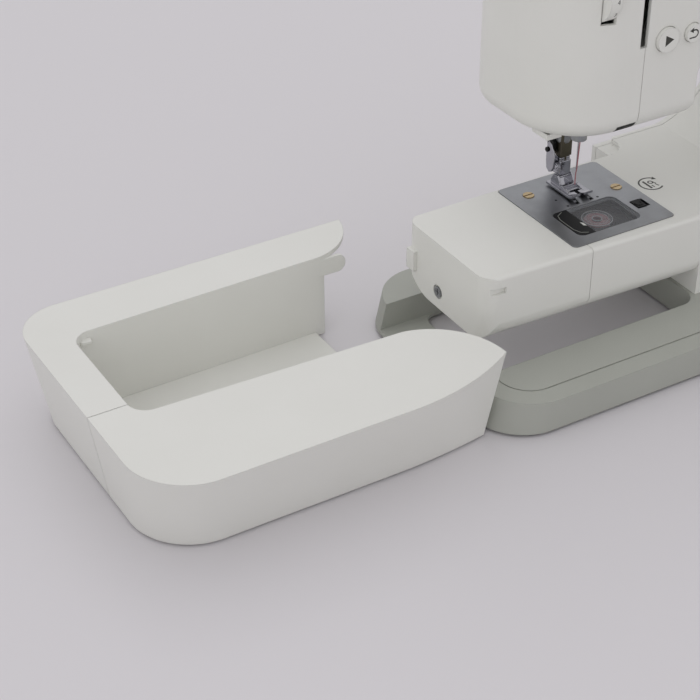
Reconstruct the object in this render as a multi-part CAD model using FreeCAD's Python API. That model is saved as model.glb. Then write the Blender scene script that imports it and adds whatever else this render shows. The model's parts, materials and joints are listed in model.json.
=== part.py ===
import FreeCAD, Part
import math
import os

Vector = FreeCAD.Vector

# Sewing machine with a bare free arm; its flat-bed table lies beside it on the same surface.
# Millimetres, x to the right, y to the back, z up from the surface it stands on.
# Places are counted from the middle of the needle plate, which stands here from the origin:
plate_x = 33.25
plate_y = 5.9

# Bed and free arm
bed_height = 83.5
arm_left = -110.0
arm_root = 56.5
arm_front_end = -47.2
arm_front_root = -51.9
arm_rear_end = 43.4
arm_rear_root = 45.5
arm_section = 46.5
arm_end_radius = 11.0
arm_front_lip = 13.0
arm_rear_sweep = 30.0
arm_top_front_radius = 2.5
arm_top_rear_radius = 1.5
cover_seam = -31.0
seam_gap = 0.3
end_screw_y = 4.7
end_screw_drop = 34.8
end_screw_radius = 3.8
end_screw_head = 1.4
end_screw_proud = 0.2
end_screw_length = 16.0
end_screw_clear = 1.0
cross_slot_length = 4.4
cross_slot_width = 0.8
cross_slot_depth = 0.8
locating_length = 12.0
locating_height = 14.0
locating_drop = 32.0
locating_proud = 2.5
locating_inset = 5.5
locating_width = 8.5
arm_notch_length = 15.0
arm_notch_depth = 1.8
arm_notch_drop = 8.0
arm_notch_height = 4.0
screw_core = 1.6
screw_gap = 0.05
screw_clear = 0.1
cut_over = 1.0
join_over = 1.0
slide_gap = 0.3
wall = 2.5

# Column, arm and head
body_right = 272.0
body_rear = 66.0
body_corner = 22.0
step_x = 70.0
step_inner_radius = 13.0
step_outer_radius = 6.0
step_slot_y = 58.3
step_slot_drop = 6.1
step_slot_width = 3.4
step_slot_height = 7.0
casing_front = -34.0
column_left = 165.0
column_sweep = 70.0
arm_depth = 106.5
arm_under_radius = 28.0
head_left = -54.0
head_right = 52.0
head_clear = 63.5
head_front_corner = 48.0
head_rear_corner = 26.0
head_lip = 10.0
head_round = 13.0
body_rise = 208.5
top_end_radius = 24.0
top_front_radius = 28.0
top_rear_radius = 20.0
face_seam = 8.0
shell_split = 61.5
head_hole_left = 23.0
head_hole_right = 13.0
head_hole_ahead = 18.0
head_hole_behind = 9.0

# Top lid over the thread spool
lid_left = 18.0
lid_right = 206.0
lid_drop = 26.0
lid_pin_radius = 0.9
lid_pin_inset = 2.0
lid_relief = 3.0
lid_boss = 8.0
lid_boss_depth = 4.0
lid_boss_half = 4.0
lid_pin_gap = 2.0

# Base
base_left = -130.0
base_right = 276.0
base_front = -102.5
base_rear = 72.0
base_corner = 35.0
base_end_draft = 5.0
base_height = 23.5
base_lift = 2.0
base_wall = 3.0
rail_groove_inset = 13.5
rail_groove_width = 0.9
rail_groove_depth = 0.8
opening_left = -97.0
opening_front = -58.0
opening_rear = 42.0
opening_corner = 12.0
sill_height = 5.0
foot_pad_radius = 8.0
foot_pad_seat = 1.5
foot_pad_inset = 19.0

# Needle plate and what it carries
plate_length = 80.0
plate_depth = 85.0
plate_thick = 2.2
plate_proud = 0.4
plate_corner = 3.5
plate_gap = 0.2
plate_screw_head = 1.2
plate_screw_proud = 0.5
plate_screw_slot = 1.0
plate_screw_cut = 0.8
plate_screw_drop = 8.0
needle_slot_length = 6.0
needle_slot_width = 2.4
plate_screw_radius = 3.75
left_screw_x = -25.9
left_screw_y = 26.6
right_screw_x = 30.2
right_screw_y = 6.4
cover_left = -29.0
cover_right = 21.0
cover_front = -33.5
cover_rear = -0.8
cover_thick = 1.5
cover_ledge = 1.5
cover_corner = 5.0
cover_gap = 0.3
latch_width = 12.5
release_x = 28.6
release_y = -18.8
release_width = 6.7
release_depth = 9.3
release_travel = 2.5
release_proud = 0.5
release_flange = 2.0
release_flange_thick = 1.5

# Needle, needle bar and crank
needle_x = 1.0
needle_y = 13.0
needle_rise = 15.0
needle_length = 38.0
needle_radius = 0.45
needle_point_radius = 0.05
needle_point_length = 4.0
shank_radius = 1.0
shank_length = 12.0
shank_proud = 1.5
needle_bar_radius = 3.3
needle_bar_over = 1.0
bar_fit = 0.03
clamp_radius = 5.2
clamp_length = 11.0
clamp_lip = 0.5
clamp_screw_gap = 0.2
clamp_screw_reach = 5.0
clamp_knob_radius = 3.6
clamp_knob_length = 6.0
clamp_knob_gap = 0.6
crank_radius = 15.0
crank_pin_radius = 2.5
crank_disc = 21.0
crank_left = 14.0
crank_thick = 5.0
rod_length = 45.0
rod_width = 10.0
rod_left = 8.5
rod_thick = 4.0
rod_waist = 1.5
lug_pin_gap = 0.5
lug_wall = 2.2
lug_height = 10.0

# Shafts, pulleys and drive
shaft_drop = 58.5
shaft_radius = 5.0
bush_wall = 1.8
shaft_right = 284.0
shaft_clear = 1.0
timing_left = 174.0
timing_width = 8.0
timing_radius = 14.0
belt_thick = 1.6
belt_gap = 0.3
belt_side_gap = 1.0
drive_left = 246.0
drive_width = 8.0
drive_big_radius = 30.0
drive_small_radius = 6.0
motor_y = 8.0
motor_height = 76.0
motor_radius = 23.0
motor_left = 190.0
motor_right = 238.0
motor_shaft_radius = 2.5
motor_shaft_depth = 26.0
motor_bore_gap = 2.0
motor_nose_radius = 7.6
motor_nose_length = 4.0
wheel_radius = 34.0
wheel_width = 22.0
wheel_gap = 1.5
wheel_lip = 5.0
wheel_dish = 6.0
wheel_hub_radius = 13.6
wheel_hub_sink = 2.0

# Hook and bobbin
hook_y = -12.0
hook_radius = 23.0
hook_wall = 2.2
hook_drop = 6.5
hook_height = 15.0
case_gap = 0.4
case_wall = 1.5
bobbin_radius = 10.2
bobbin_height = 11.5
bobbin_flange = 1.0
bobbin_core = 4.0
bobbin_fit = 0.05
thread_radius = 8.8
hook_shaft_radius = 3.0
hook_gear_radius = 5.0
hook_gear_teeth = 12
lower_gear_radius = 10.0
lower_gear_teeth = 24
gear_tooth = 1.2
gear_gap = 0.4
gear_width = 8.0
tooth_shares = (0.0, 0.28, 0.42, 0.86)
lower_shaft_radius = 4.0
lower_shaft_drop = 11.5
lower_shaft_left = -26.0
lower_shaft_tail = 4.0
feed_bar_width = 2.0
feed_bar_spread = 5.5
feed_length = 24.0
feed_middle = 16.0
feed_rise = 0.6
feed_travel = 2.5
feed_slot_gap = 0.4
feed_seat_gap = 1.0
feed_seat_thick = 2.0
feed_hole_length = 7.0
feed_hole_width = 8.0
feed_teeth = 9
feed_tooth = 0.8
feed_notch_share = 0.35

# Presser bar, holder and foot
presser_y = 28.5
presser_radius = 3.5
presser_low = 20.0
presser_over = 19.0
presser_block_extra = 0.6
presser_block_low = 11.0
presser_block_high = 12.0
holder_width = 9.0
holder_depth = 11.0
holder_low = 9.2
holder_high = 34.0
holder_bracket = 2.5
holder_bracket_back = 2.0
holder_bracket_rise = 3.0
holder_bracket_top = 2.0
holder_screw_rise = 6.0
holder_screw_back = 3.0
holder_screw_bite = 3.0
holder_screw_length = 8.0
holder_knob_radius = 4.0
holder_knob_length = 4.5
foot_length = 28.0
foot_width = 17.0
foot_rear = 32.8
foot_sole = 2.2
foot_rise = 1.1
foot_pin_radius = 1.2
foot_pin_y = 24.5
foot_pin_rise = 8.2
foot_ear = 1.4
foot_ear_length = 8.0
foot_ear_rise = 2.0
foot_pin_gap = 0.15
foot_slot_length = 8.0
foot_slot_width = 4.0
foot_toe_slot = 1.6
lever_thick = 4.0
lever_y = 46.0
lever_rise = 20.0
lever_length = 46.0
lever_droop = 18.0
lever_hub = 6.0
lever_height = 8.0
lever_handle = 14.0
lever_handle_extra = 4.0
lever_slot_gap = 1.0
lever_slot_depth = 20.0
lever_slot_below = 16.0
lever_slot_above = 30.0

# Inner frame
frame_y = 42.0
frame_thick = 8.0
frame_beam_rear = 30.0
frame_beam_thick = 8.0
boss_half = 6.0
boss_height = 10.0
lower_boss_rise = 3.0
upper_boss_drop = 19.0
side_plate_left = -8.0
side_plate_thick = 3.0
side_plate_margin = 4.0
side_plate_rise = 6.0
column_margin = 4.0
motor_margin = 2.0
frame_foot_height = 6.0
frame_foot_front = 8.0
frame_foot_gap = 2.0
link_width = 12.0
end_block_gap = 6.0
end_block_front = 5.0
end_block_below = 4.0
end_block_height = 11.0
end_block_lap = 4.0
upper_bracket_half = 9.0
lower_bracket_front = 7.5
lower_bracket_half = 6.5
lower_bracket_lap = 2.0
hook_bracket_margin = 1.5
hook_bracket_reach = 16.0
hook_bracket_width = 14.0
post_radius = 3.5
post_depth = 8.0
post_block = 8.0
saddle_inset = 8.0
saddle_half = 10.0
spool_bracket = 5.0
spool_bracket_half = 6.0
spool_bracket_rise = 16.0
pivot_over = 1.0
pivot_tail = 2.0
guide_half = 4.0
guide_height = 8.0
boss_margin = 1.0
boss_lap = 0.5
beam_drop = 13.5
beam_height = 22.0
frame_left = -70.0
frame_reach = 28.0
left_bracket = 60.0
right_bracket = 226.0
hook_bracket = -24.0
middle_bracket = 60.0
column_bracket = 150.0
bracket_width = 10.0
hook_bush_gap = 1.0
hook_bush_height = 4.5
pivot_radius = 2.0
case_screw_radius = 3.2
case_screw_head = 1.2
case_screw_proud = 0.3
case_screw_slot = 1.0
case_screw_slot_depth = 0.8
case_screw_bite = 2.0
arm_screw_left = 70.0
arm_screw_right = 220.0
arm_screw_rise = 6.5
column_screw_rise = 76.5
foot_screw_x = 200.0
foot_screw_rise = 16.5

# Controls
control_drop = 86.0
button_proud = 2.5
button_depth = 9.0
button_gap = 0.3
button_flange = 1.2
button_flange_thick = 1.2
start_x = 24.0
start_radius = 8.0
reverse_x = 44.0
reverse_radius = 6.0
slider_left = 98.0
slider_right = 146.0
slider_slot = 4.0
slider_knob = 12.0
slider_height = 10.0
slider_proud = 5.0
slider_stem = 6.0
slider_stem_gap = 0.2
slider_keeper = 2.0
screen_left = 180.0
screen_right = 246.0
screen_height = 62.0
screen_drop = 60.0
screen_proud = 0.4
screen_flange = 2.0
screen_flange_thick = 1.0
screen_flange_gap = 0.1
dial_x = 213.0
dial_drop = 32.0
dial_radius = 14.0
dial_proud = 11.0
dial_shaft = 3.0
dial_gap = 0.4
dial_tail = 4.0
dial_collar = 2.0
dial_collar_thick = 1.2
tension_x = -20.0
tension_drop = 52.0
tension_radius = 16.0
tension_width = 8.0
tension_proud = 4.0
tension_slot_gap = 0.6
tension_slot_depth = 10.0
take_up_y = -8.0
take_up_drop = 70.0
take_up_reach = 34.0
take_up_angle = 40.0
take_up_left = 4.8
take_up_thick = 2.0
take_up_hub = 5.0
take_up_width = 5.0
take_up_tip = 3.5
take_up_eye = 1.2
take_up_slot_gap = 0.8
take_up_slot_depth = 12.0
take_up_slot_below = 18.0
threader_x = -33.0
threader_y = 0.0
threader_width = 4.0
threader_depth = 6.0
threader_drop = 2.5
threader_over = 29.0
threader_tab_left = 7.0
threader_tab_right = 4.0
threader_tab_front = 7.0
threader_tab_rear = 9.0
threader_tab_thick = 4.0
threader_tab_drop = 4.6
threader_gap = 1.0
spool_y = 16.0
spool_left = 60.0
spool_length = 75.0
spool_radius = 3.0
spool_cap_radius = 12.0
spool_cap_small_radius = 7.2
spool_cap_thick = 6.0
spool_cap_start = 2.0
spool_rise = 2.0
winder_offset = 20.0
winder_y = 10.0
winder_radius = 3.0
winder_rise = 16.0
winder_seat_radius = 4.0
winder_seat_rise = 1.0
winder_travel = 6.0
winder_flange = 9.0
winder_flange_thick = 3.0
winder_slot_gap = 0.5
winder_shelf_half = 12.0
winder_shelf_front = 8.0
winder_shelf_thick = 6.0
lamp_left = 19.0
lamp_width = 18.0
lamp_depth = 24.0
lamp_proud = 1.0
lamp_flange = 2.0
lamp_flange_thick = 1.2
switch_y = 20.0
switch_pin_radius = 0.8
switch_pin_reach = 10.0
switch_width = 13.0
switch_length = 17.0
switch_proud = 2.0
switch_depth = 4.0
switch_side_gap = 0.5
switch_end_gap = 1.5
switch_rise = 36.5
inlet_y = -10.0
inlet_width = 23.4
inlet_length = 15.4
inlet_gap = 0.3
inlet_depth = 12.0
inlet_proud = 0.4
inlet_flange = 2.3
inlet_flange_thick = 1.5
socket_width = 16.0
socket_length = 10.0
socket_depth = 9.0
socket_pin_radius = 1.2
socket_pin_spread = 4.0
socket_pin_sink = 2.0

# Table, drawn off to the left
table_height = 61.1
table_lift = 1.5
table_left = -362.0
table_front = -109.2
table_rear = 97.4
table_front_draft = 19.9
table_left_draft = 9.0
table_rear_draft = 10.0
table_tip_draft = 10.5
table_tip_side_draft = 4.0
table_bend_draft = 1.5
table_front_corner = 40.0
table_rear_corner = 30.0
table_wall = 2.5
table_top = 3.0
table_curve_start = -200.0
table_front_tip = -122.4
table_tip_rise = 21.3
table_front_bend = -138.0
table_front_bend_y = -51.5
table_rear_tip = -128.0
table_rear_bend = -146.2
table_rear_bend_y = 68.8
table_rear_bend_draft = 1.0
notch_left = -337.0
notch_right = -164.0
notch_front_left = -32.4
notch_front_right = -38.2
notch_rear_left = 59.7
notch_rear_right = 62.2
notch_corner = 12.0
tray_floor = 3.0
tray_gap = 0.2
table_foot_radius = 6.0
table_foot_left = -335.0
table_foot_right = -180.0
table_foot_front = -60.0
table_foot_rear = 72.0
door_seam = -21.0
door_gap = 0.5
door_axis_y = -86.0
door_axis_height = 7.5
door_pin_radius = 1.5
door_pin_fit = 0.05
door_lug_radius = 3.2
door_boss_radius = 2.3
door_boss_width = 4.0
door_sweep = 7.0
door_lug_width = 6.0
door_lug_left = -300.0
door_lug_right = -215.0
rear_wall_past = 4.5
tongue_length = 15.6
tongue_height = 12.0
tongue_round = 5.5
tongue_lap = 4.0
bracket_foot = 8.0
notch_past = 80.0

far = 1000.0

top_height = bed_height + body_rise
shaft_height = top_height - shaft_drop
head_under = bed_height + head_clear
rear_wall_end = notch_right + rear_wall_past
arm_under = top_height - arm_depth
lid_seam = top_height - lid_drop
plate_top = bed_height + plate_proud
beam_top = bed_height - beam_drop
hook_top = bed_height - hook_drop
hook_floor = hook_top - hook_height
hook_bush_low = hook_floor - hook_bush_gap - hook_bush_height
lower_shaft_height = hook_floor - lower_shaft_drop
lower_shaft_y = hook_y + hook_gear_radius + lower_gear_radius + gear_gap
lower_boss = head_under + lower_boss_rise
upper_boss = shaft_height - upper_boss_drop
lever_axis = head_under + lever_rise
needle_bar_low = plate_top + needle_rise + needle_length - shank_length
needle_bar_top = upper_boss + boss_height + 2 * crank_radius + needle_bar_over
control_height = top_height - control_drop
screen_high = top_height - screen_drop
screen_low = screen_high - screen_height
dial_height = screen_low - dial_drop
tension_height = top_height - tension_drop
take_up_height = top_height - take_up_drop
switch_height = base_height + switch_rise
winder_x = lid_right + winder_offset
plate_screw_places = ((left_screw_x, left_screw_y), (right_screw_x, right_screw_y))
arm_screw_height = shaft_height + arm_screw_rise
case_screw_places = ((arm_screw_left, arm_screw_height), (arm_screw_right, arm_screw_height),
                     (arm_screw_right, base_height + column_screw_rise),
                     (foot_screw_x, base_height + foot_screw_rise))
button_places = {"start_button": (start_x, start_radius), "reverse_button": (reverse_x, reverse_radius)}


def block(x, y, z):
    return Part.makeBox(x[1] - x[0], y[1] - y[0], z[1] - z[0], Vector(x[0], y[0], z[0]))


def along_x(radius, x, y, z):
    return Part.makeCylinder(radius, x[1] - x[0], Vector(x[0], y, z), Vector(1, 0, 0))


def along_y(radius, x, y, z):
    return Part.makeCylinder(radius, y[1] - y[0], Vector(x, y[0], z), Vector(0, 1, 0))


def along_z(radius, x, y, z):
    return Part.makeCylinder(radius, z[1] - z[0], Vector(x, y, z[0]), Vector(0, 0, 1))


def flat(a, b):
    return Vector(a, b, 0)


def upright(a, b):
    return Vector(a, 0, b)


def sideways(a, b):
    return Vector(0, a, b)


# Closed outline from corners (a, b, radius), with a tangent arc at each corner that has a radius
def rounded_wire(corners, place):
    count = len(corners)
    edges = []
    stops = []
    for i in range(count):
        before = Vector(corners[i - 1][0], corners[i - 1][1], 0)
        here = Vector(corners[i][0], corners[i][1], 0)
        after = Vector(corners[(i + 1) % count][0], corners[(i + 1) % count][1], 0)
        radius = corners[i][2]
        if radius == 0:
            stops.append((here, here, here))
            continue
        back = (before - here).normalize()
        ahead = (after - here).normalize()
        half = math.acos(max(-1.0, min(1.0, back.dot(ahead)))) / 2
        reach = radius / math.tan(half)
        middle = (back + ahead).normalize()
        centre = here + middle * (radius / math.sin(half))
        stops.append((here + back * reach, centre - middle * radius, here + ahead * reach))
    for i in range(count):
        enter, crown, leave = [place(p.x, p.y) for p in stops[i]]
        if corners[i][2] > 0:
            edges.append(Part.Arc(enter, crown, leave).toShape())
        following = stops[(i + 1) % count][0]
        target = place(following.x, following.y)
        if leave.distanceToPoint(target) > 1e-6:
            edges.append(Part.LineSegment(leave, target).toShape())
    return Part.Wire(edges)


def rounded_prism(corners, place, start, length, inset=0.0):
    face = Part.Face(rounded_wire(corners, place))
    if inset:
        face = face.makeOffset2D(-inset)
    solid = face.extrude(length)
    solid.translate(start)
    return solid


def plan_prism(corners, z, inset=0.0):
    return rounded_prism(corners, flat, Vector(0, 0, z[0]), Vector(0, 0, z[1] - z[0]), inset)


def rectangle(a, b, radius):
    return [(a[0], b[0], radius), (a[1], b[0], radius), (a[1], b[1], radius), (a[0], b[1], radius)]


def grouped(solids):
    return Part.makeCompound(solids)


def united(solids):
    return solids[0].multiFuse(solids[1:]).removeSplitter()


def bed_plan():
    return [(arm_left, arm_front_end, arm_end_radius), (arm_root, arm_front_root, 0),
            (body_right, arm_front_root, body_corner), (body_right, body_rear, body_corner),
            (step_x, body_rear, step_outer_radius), (step_x, arm_rear_root, step_inner_radius),
            (arm_left, arm_rear_end, arm_end_radius)]


# Cross-section of the free arm, straight in front and swept up at the back
def arm_wire(x, inset):
    share = (x - arm_left) / (arm_root - arm_left)
    front = arm_front_end + share * (arm_front_root - arm_front_end) + inset
    rear = arm_rear_end + share * (arm_rear_root - arm_rear_end) - inset
    low = bed_height - arm_section + inset
    corners = [(front, low, arm_front_lip - inset / 2), (rear, low, arm_rear_sweep - inset),
               (rear, bed_height - inset, arm_top_rear_radius - inset / 2),
               (front, bed_height - inset, arm_top_front_radius - inset / 2)]
    wire = rounded_wire(corners, sideways)
    wire.translate(Vector(x, 0, 0))
    return wire


def arm_form(inset):
    tube = Part.makeLoft([arm_wire(arm_left + inset, inset), arm_wire(arm_root + wall * 2, inset)], True,
                         True)
    return tube.common(plan_prism(bed_plan(), (0, bed_height), inset))


def bed_form(inset):
    low = base_height - inset
    corners = [(arm_front_root + inset, low, 0), (body_rear - inset, low, 0),
               (body_rear - inset, bed_height - inset, arm_top_rear_radius),
               (arm_front_root + inset, bed_height - inset, arm_top_front_radius - inset / 2)]
    start = Vector(arm_root + inset, 0, 0)
    side = rounded_prism(corners, sideways, start, Vector(body_right - arm_root - 2 * inset, 0, 0))
    return side.common(plan_prism(bed_plan(), (0, bed_height), inset))


# Plan of the head drawn up, its lower edge rounded
def head_prism(plan, inset):
    low = head_under + inset
    prism = plan_prism(plan, (low, top_height + cut_over), inset)
    edges = [edge for edge in prism.Edges if edge.BoundBox.ZMax < low + slide_gap]
    prism = prism.makeFillet(min(head_round, arm_under - head_under) - inset, edges)
    return prism.common(block((-far, head_right), (-far, far), (0, far)))


# Plan of the arm and column drawn up
def column_prism(plan, inset):
    prism = plan_prism(plan, (0, top_height + cut_over), inset)
    return prism.common(block((head_right, far), (-far, far), (0, far)))


# Column, arm and head: the front outline kept inside the plan and the side outline
def casing_form(inset):
    step_lip = min(head_lip, (arm_under - head_under) / 2)
    sweep = min(column_sweep, arm_under - bed_height - arm_under_radius)
    front = [(head_left, head_under, head_lip), (head_right, head_under, step_lip),
             (head_right, arm_under, step_lip), (column_left, arm_under, arm_under_radius),
             (column_left, bed_height - wall, sweep), (arm_root, bed_height - wall, 0),
             (arm_root, base_height, 0), (body_right, base_height, 0),
             (body_right, top_height, top_end_radius), (head_left, top_height, top_end_radius)]
    depth = body_rear - casing_front
    plan = [(head_left, casing_front, head_front_corner), (body_right, casing_front, body_corner),
            (body_right, body_rear, body_corner), (head_left, body_rear, head_rear_corner)]
    side = [(casing_front, 0, 0), (body_rear, 0, 0), (body_rear, top_height, top_rear_radius),
            (casing_front, top_height, top_front_radius)]
    form = rounded_prism(front, upright, Vector(0, casing_front, 0), Vector(0, depth, 0), inset)
    form = form.common(united([head_prism(plan, inset), column_prism(plan, inset)]))
    start = Vector(head_left - cut_over, 0, 0)
    length = Vector(body_right - head_left + 2 * cut_over, 0, 0)
    return form.common(rounded_prism(side, sideways, start, length, inset))


def body_shell():
    outside = united([arm_form(0), bed_form(0), casing_form(0)])
    inside = united([arm_form(wall), bed_form(wall), casing_form(wall)])
    floor_hole = block((arm_root + wall, body_right - wall), (casing_front + wall, body_rear - wall),
                       (base_height - cut_over, base_height + 2 * wall))
    return outside.cut(inside).cut(floor_hole)


def plate_opening(gap):
    half_x = plate_length / 2 + gap
    half_y = plate_depth / 2 + gap
    corners = rectangle((-half_x, half_x), (-half_y, half_y), plate_corner)
    return plan_prism(corners, (bed_height - wall - cut_over, plate_top + cut_over))


def lid_space(gap):
    return block((lid_left - gap, lid_right + gap), (-far, far), (lid_seam - gap, far))


# Openings that the shell has for the moving pieces
def shell_cuts():
    front = (casing_front - cut_over, casing_front + wall + cut_over)
    cuts = head_cuts() + right_cuts()
    cuts.append(block((screen_left, screen_right), front, (screen_low, screen_high)))
    cuts.append(along_y(dial_shaft + bar_fit, dial_x, front, dial_height))
    cuts.append(block((slider_left, slider_right), front,
                      (control_height - slider_slot / 2, control_height + slider_slot / 2)))
    for x, radius in button_places.values():
        cuts.append(along_y(radius + button_gap, x, front, control_height))
    reach = winder_seat_radius + winder_slot_gap
    cuts.append(block((winder_x - winder_travel - reach, winder_x + reach),
                      (winder_y - reach, winder_y + reach),
                      (top_height - 2 * wall, top_height + cut_over)))
    cuts.append(along_x(screw_core + screw_clear, (arm_left - cut_over, arm_left + wall + cut_over),
                        end_screw_y, bed_height - end_screw_drop))
    cuts.append(plate_opening(plate_gap))
    return cuts


def head_cuts():
    under = (head_under - cut_over, head_under + wall + cut_over)
    bar_hole = block((needle_x - head_hole_left, needle_x + head_hole_right),
                     (needle_y - head_hole_ahead, presser_y + head_hole_behind), under)
    threader_hole = threader_block(threader_gap, under)
    half = lever_thick / 2 + lever_slot_gap
    lever_slot = block((needle_x - half, needle_x + half), (body_rear - wall - lever_slot_depth, far),
                       (lever_axis - lever_slot_below, lever_axis + lever_slot_above))
    take_up_slot = block((take_up_left - take_up_slot_gap, face_seam + seam_gap + cut_over),
                         (-far, casing_front + take_up_slot_depth),
                         (take_up_height - take_up_slot_below, take_up_height + take_up_reach))
    half = tension_width / 2 + tension_slot_gap
    tension_slot = block((tension_x - half, tension_x + half), (-far, casing_front + tension_slot_depth),
                         (tension_height - tension_radius, tension_height + tension_radius))
    return [bar_hole, threader_hole, lever_slot, take_up_slot, tension_slot, lamp_block(0)]


def right_cuts():
    right = (body_right - wall - cut_over, body_right + cut_over)
    half_width = switch_width / 2 + switch_side_gap
    half_length = switch_length / 2 + switch_end_gap
    switch_hole = block(right, (switch_y - half_width, switch_y + half_width),
                        (switch_height - half_length, switch_height + half_length))
    half_width = inlet_width / 2 + inlet_gap
    half_length = inlet_length / 2 + inlet_gap
    inlet_hole = block(right, (inlet_y - half_width, inlet_y + half_width),
                       (switch_height - half_length, switch_height + half_length))
    return [switch_hole, switch_axis(switch_pin_radius + bar_fit, switch_pin_reach + cut_over), inlet_hole,
            along_x(shaft_radius + shaft_clear, right, needle_y, shaft_height)]


# Shells of the casing, parted along the seams
def shells():
    whole = body_shell().cut(shell_cuts())
    whole = united([whole, locating_block()]).cut([end_counterbore(), front_notch(), step_slot()])
    left_of_cover = block((-far, cover_seam), (-far, far), (0, bed_height + cut_over))
    head_zone = (bed_height + head_clear / 2, far)
    left_of_face = block((-far, face_seam), (-far, far), head_zone)
    rest = whole.cut(block((-far, cover_seam + seam_gap), (-far, far), (0, bed_height + cut_over)))
    rest = rest.cut(block((-far, face_seam + seam_gap), (-far, far), head_zone))
    lid = rest.common(lid_space(0))
    rest = rest.cut(lid_space(seam_gap))
    front = rest.common(block((-far, far), (-far, shell_split), (0, far)))
    rear = rest.common(block((-far, far), (shell_split + seam_gap, far), (0, far)))
    return {"free_arm_cover": whole.common(left_of_cover), "face_cover": whole.common(left_of_face),
            "front_shell": front, "rear_shell": fitted_rear(rear), "top_lid": fitted_lid(lid)}


def locating_block():
    low = bed_height - locating_drop
    rear = arm_rear_end - locating_inset
    return block((arm_left - locating_proud, arm_left + locating_length),
                 (rear - locating_width, rear), (low, low + locating_height))


def end_counterbore():
    span = (arm_left - cut_over, arm_left + end_screw_head)
    return along_x(end_screw_radius + end_screw_clear, span, end_screw_y, bed_height - end_screw_drop)


def front_notch():
    top = bed_height - arm_notch_drop
    return block((arm_left - cut_over, arm_left + arm_notch_length),
                 (arm_front_end - cut_over, arm_front_end + arm_notch_depth), (top - arm_notch_height, top))


# Slot in the bed's left-facing step, which takes the table's tongue
def step_slot():
    half_y = step_slot_width / 2
    half_z = step_slot_height / 2
    z = bed_height - step_slot_drop
    corners = rectangle((step_slot_y - half_y, step_slot_y + half_y), (z - half_z, z + half_z),
                        half_y - seam_gap)
    return rounded_prism(corners, sideways, Vector(step_x - wall, 0, 0), Vector(2 * wall + cut_over, 0, 0))


def lid_axis(x, radius):
    return along_x(radius, x, body_rear - lid_pin_inset, lid_seam)


def fitted_rear(rear):
    inner_face = body_rear - wall
    depth = (inner_face - lid_boss_depth, inner_face + wall / 2)
    height = (lid_seam - lid_boss_half, lid_seam + lid_boss_half)
    left_boss = block((lid_left - lid_boss, lid_left - seam_gap), depth, height)
    right_boss = block((lid_right + seam_gap, lid_right + lid_boss), depth, height)
    rear = united([rear, left_boss, right_boss])
    rear = rear.cut(lid_axis((lid_left - seam_gap, lid_right + seam_gap), lid_relief))
    rear = rear.cut(lid_axis((lid_left - lid_boss - cut_over, lid_right + lid_boss + cut_over),
                             lid_pin_radius + bar_fit))
    for x, z in case_screw_places:
        rear = rear.cut(along_y(screw_core + screw_clear, x, (body_rear - 2 * wall, body_rear + cut_over), z))
        rear = rear.cut(along_y(case_screw_radius + screw_clear, x,
                                (body_rear - case_screw_head, body_rear + cut_over), z))
    return rear


def fitted_lid(lid):
    ends = []
    for x in (lid_left, lid_right - wall):
        ends.append(casing_form(0).common(block((x, x + wall), (-far, far), (lid_seam, far))))
    length = lid_boss - lid_pin_gap
    pins = [lid_axis((lid_left - length, lid_left + wall), lid_pin_radius),
            lid_axis((lid_right - wall, lid_right + length), lid_pin_radius)]
    return united([lid] + ends + pins)


def base_plan(z):
    lean = base_end_draft * (z - base_lift) / (base_height - base_lift)
    return rectangle((base_left + lean, base_right), (base_front, base_rear), base_corner)


# Block of the base, its left end leaning in towards the top
def base_form(z, inset):
    wires = []
    for level in z:
        wire = Part.Face(rounded_wire(base_plan(level), flat)).makeOffset2D(-inset).OuterWire
        wire.translate(Vector(0, 0, level))
        wires.append(wire)
    return Part.makeLoft(wires, True, True)


def opening_plan():
    return rectangle((opening_left, arm_root - wall), (opening_front, opening_rear), opening_corner)


# Low sill at the left, over which the table slides home
def left_gap(grown):
    return block((-far, opening_left + opening_corner), (opening_front - grown, opening_rear + grown),
                 (0, far))


def base_frame():
    block_form = base_form((base_lift, base_height), 0)
    body = block_form
    body = body.cut(plan_prism(opening_plan(), (0, far)))
    hollow = base_form((base_lift - cut_over, base_height - base_wall), base_wall)
    hollow = hollow.cut(plan_prism(opening_plan(), (0, far), -base_wall)).cut(left_gap(base_wall))
    over_sill = left_gap(0).common(block((-far, far), (-far, far), (sill_height, far)))
    body = body.cut(hollow).cut(over_sill)
    groove = plan_prism(base_plan(base_height), (base_height - rail_groove_depth, base_height + cut_over),
                        rail_groove_inset)
    groove = groove.cut(plan_prism(base_plan(base_height), (0, far), rail_groove_inset + rail_groove_width))
    groove = groove.cut(block((-far, far), (opening_rear - base_wall, far), (0, far)))
    groove = groove.cut(block((arm_root, far), (arm_front_root - rail_groove_width, far), (0, far)))
    body = body.cut(groove)
    pads = [along_z(foot_pad_radius + base_wall, x, y, (base_lift, base_height - join_over)) for x,
            y in pad_places()]
    body = united([body] + [pad.common(block_form) for pad in pads])
    for x, y in pad_places():
        body = body.cut(along_z(foot_pad_radius + screw_gap, x, y, (0, base_lift + foot_pad_seat)))
    return body


def pad_places():
    left = base_left + foot_pad_inset
    right = base_right - foot_pad_inset
    front = base_front + foot_pad_inset
    rear = base_rear - foot_pad_inset
    return [(left, front), (right, front), (right, rear), (left, rear)]


def base_feet():
    return grouped([along_z(foot_pad_radius, x, y, (0, base_lift + foot_pad_seat)) for x, y in pad_places()])


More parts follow.
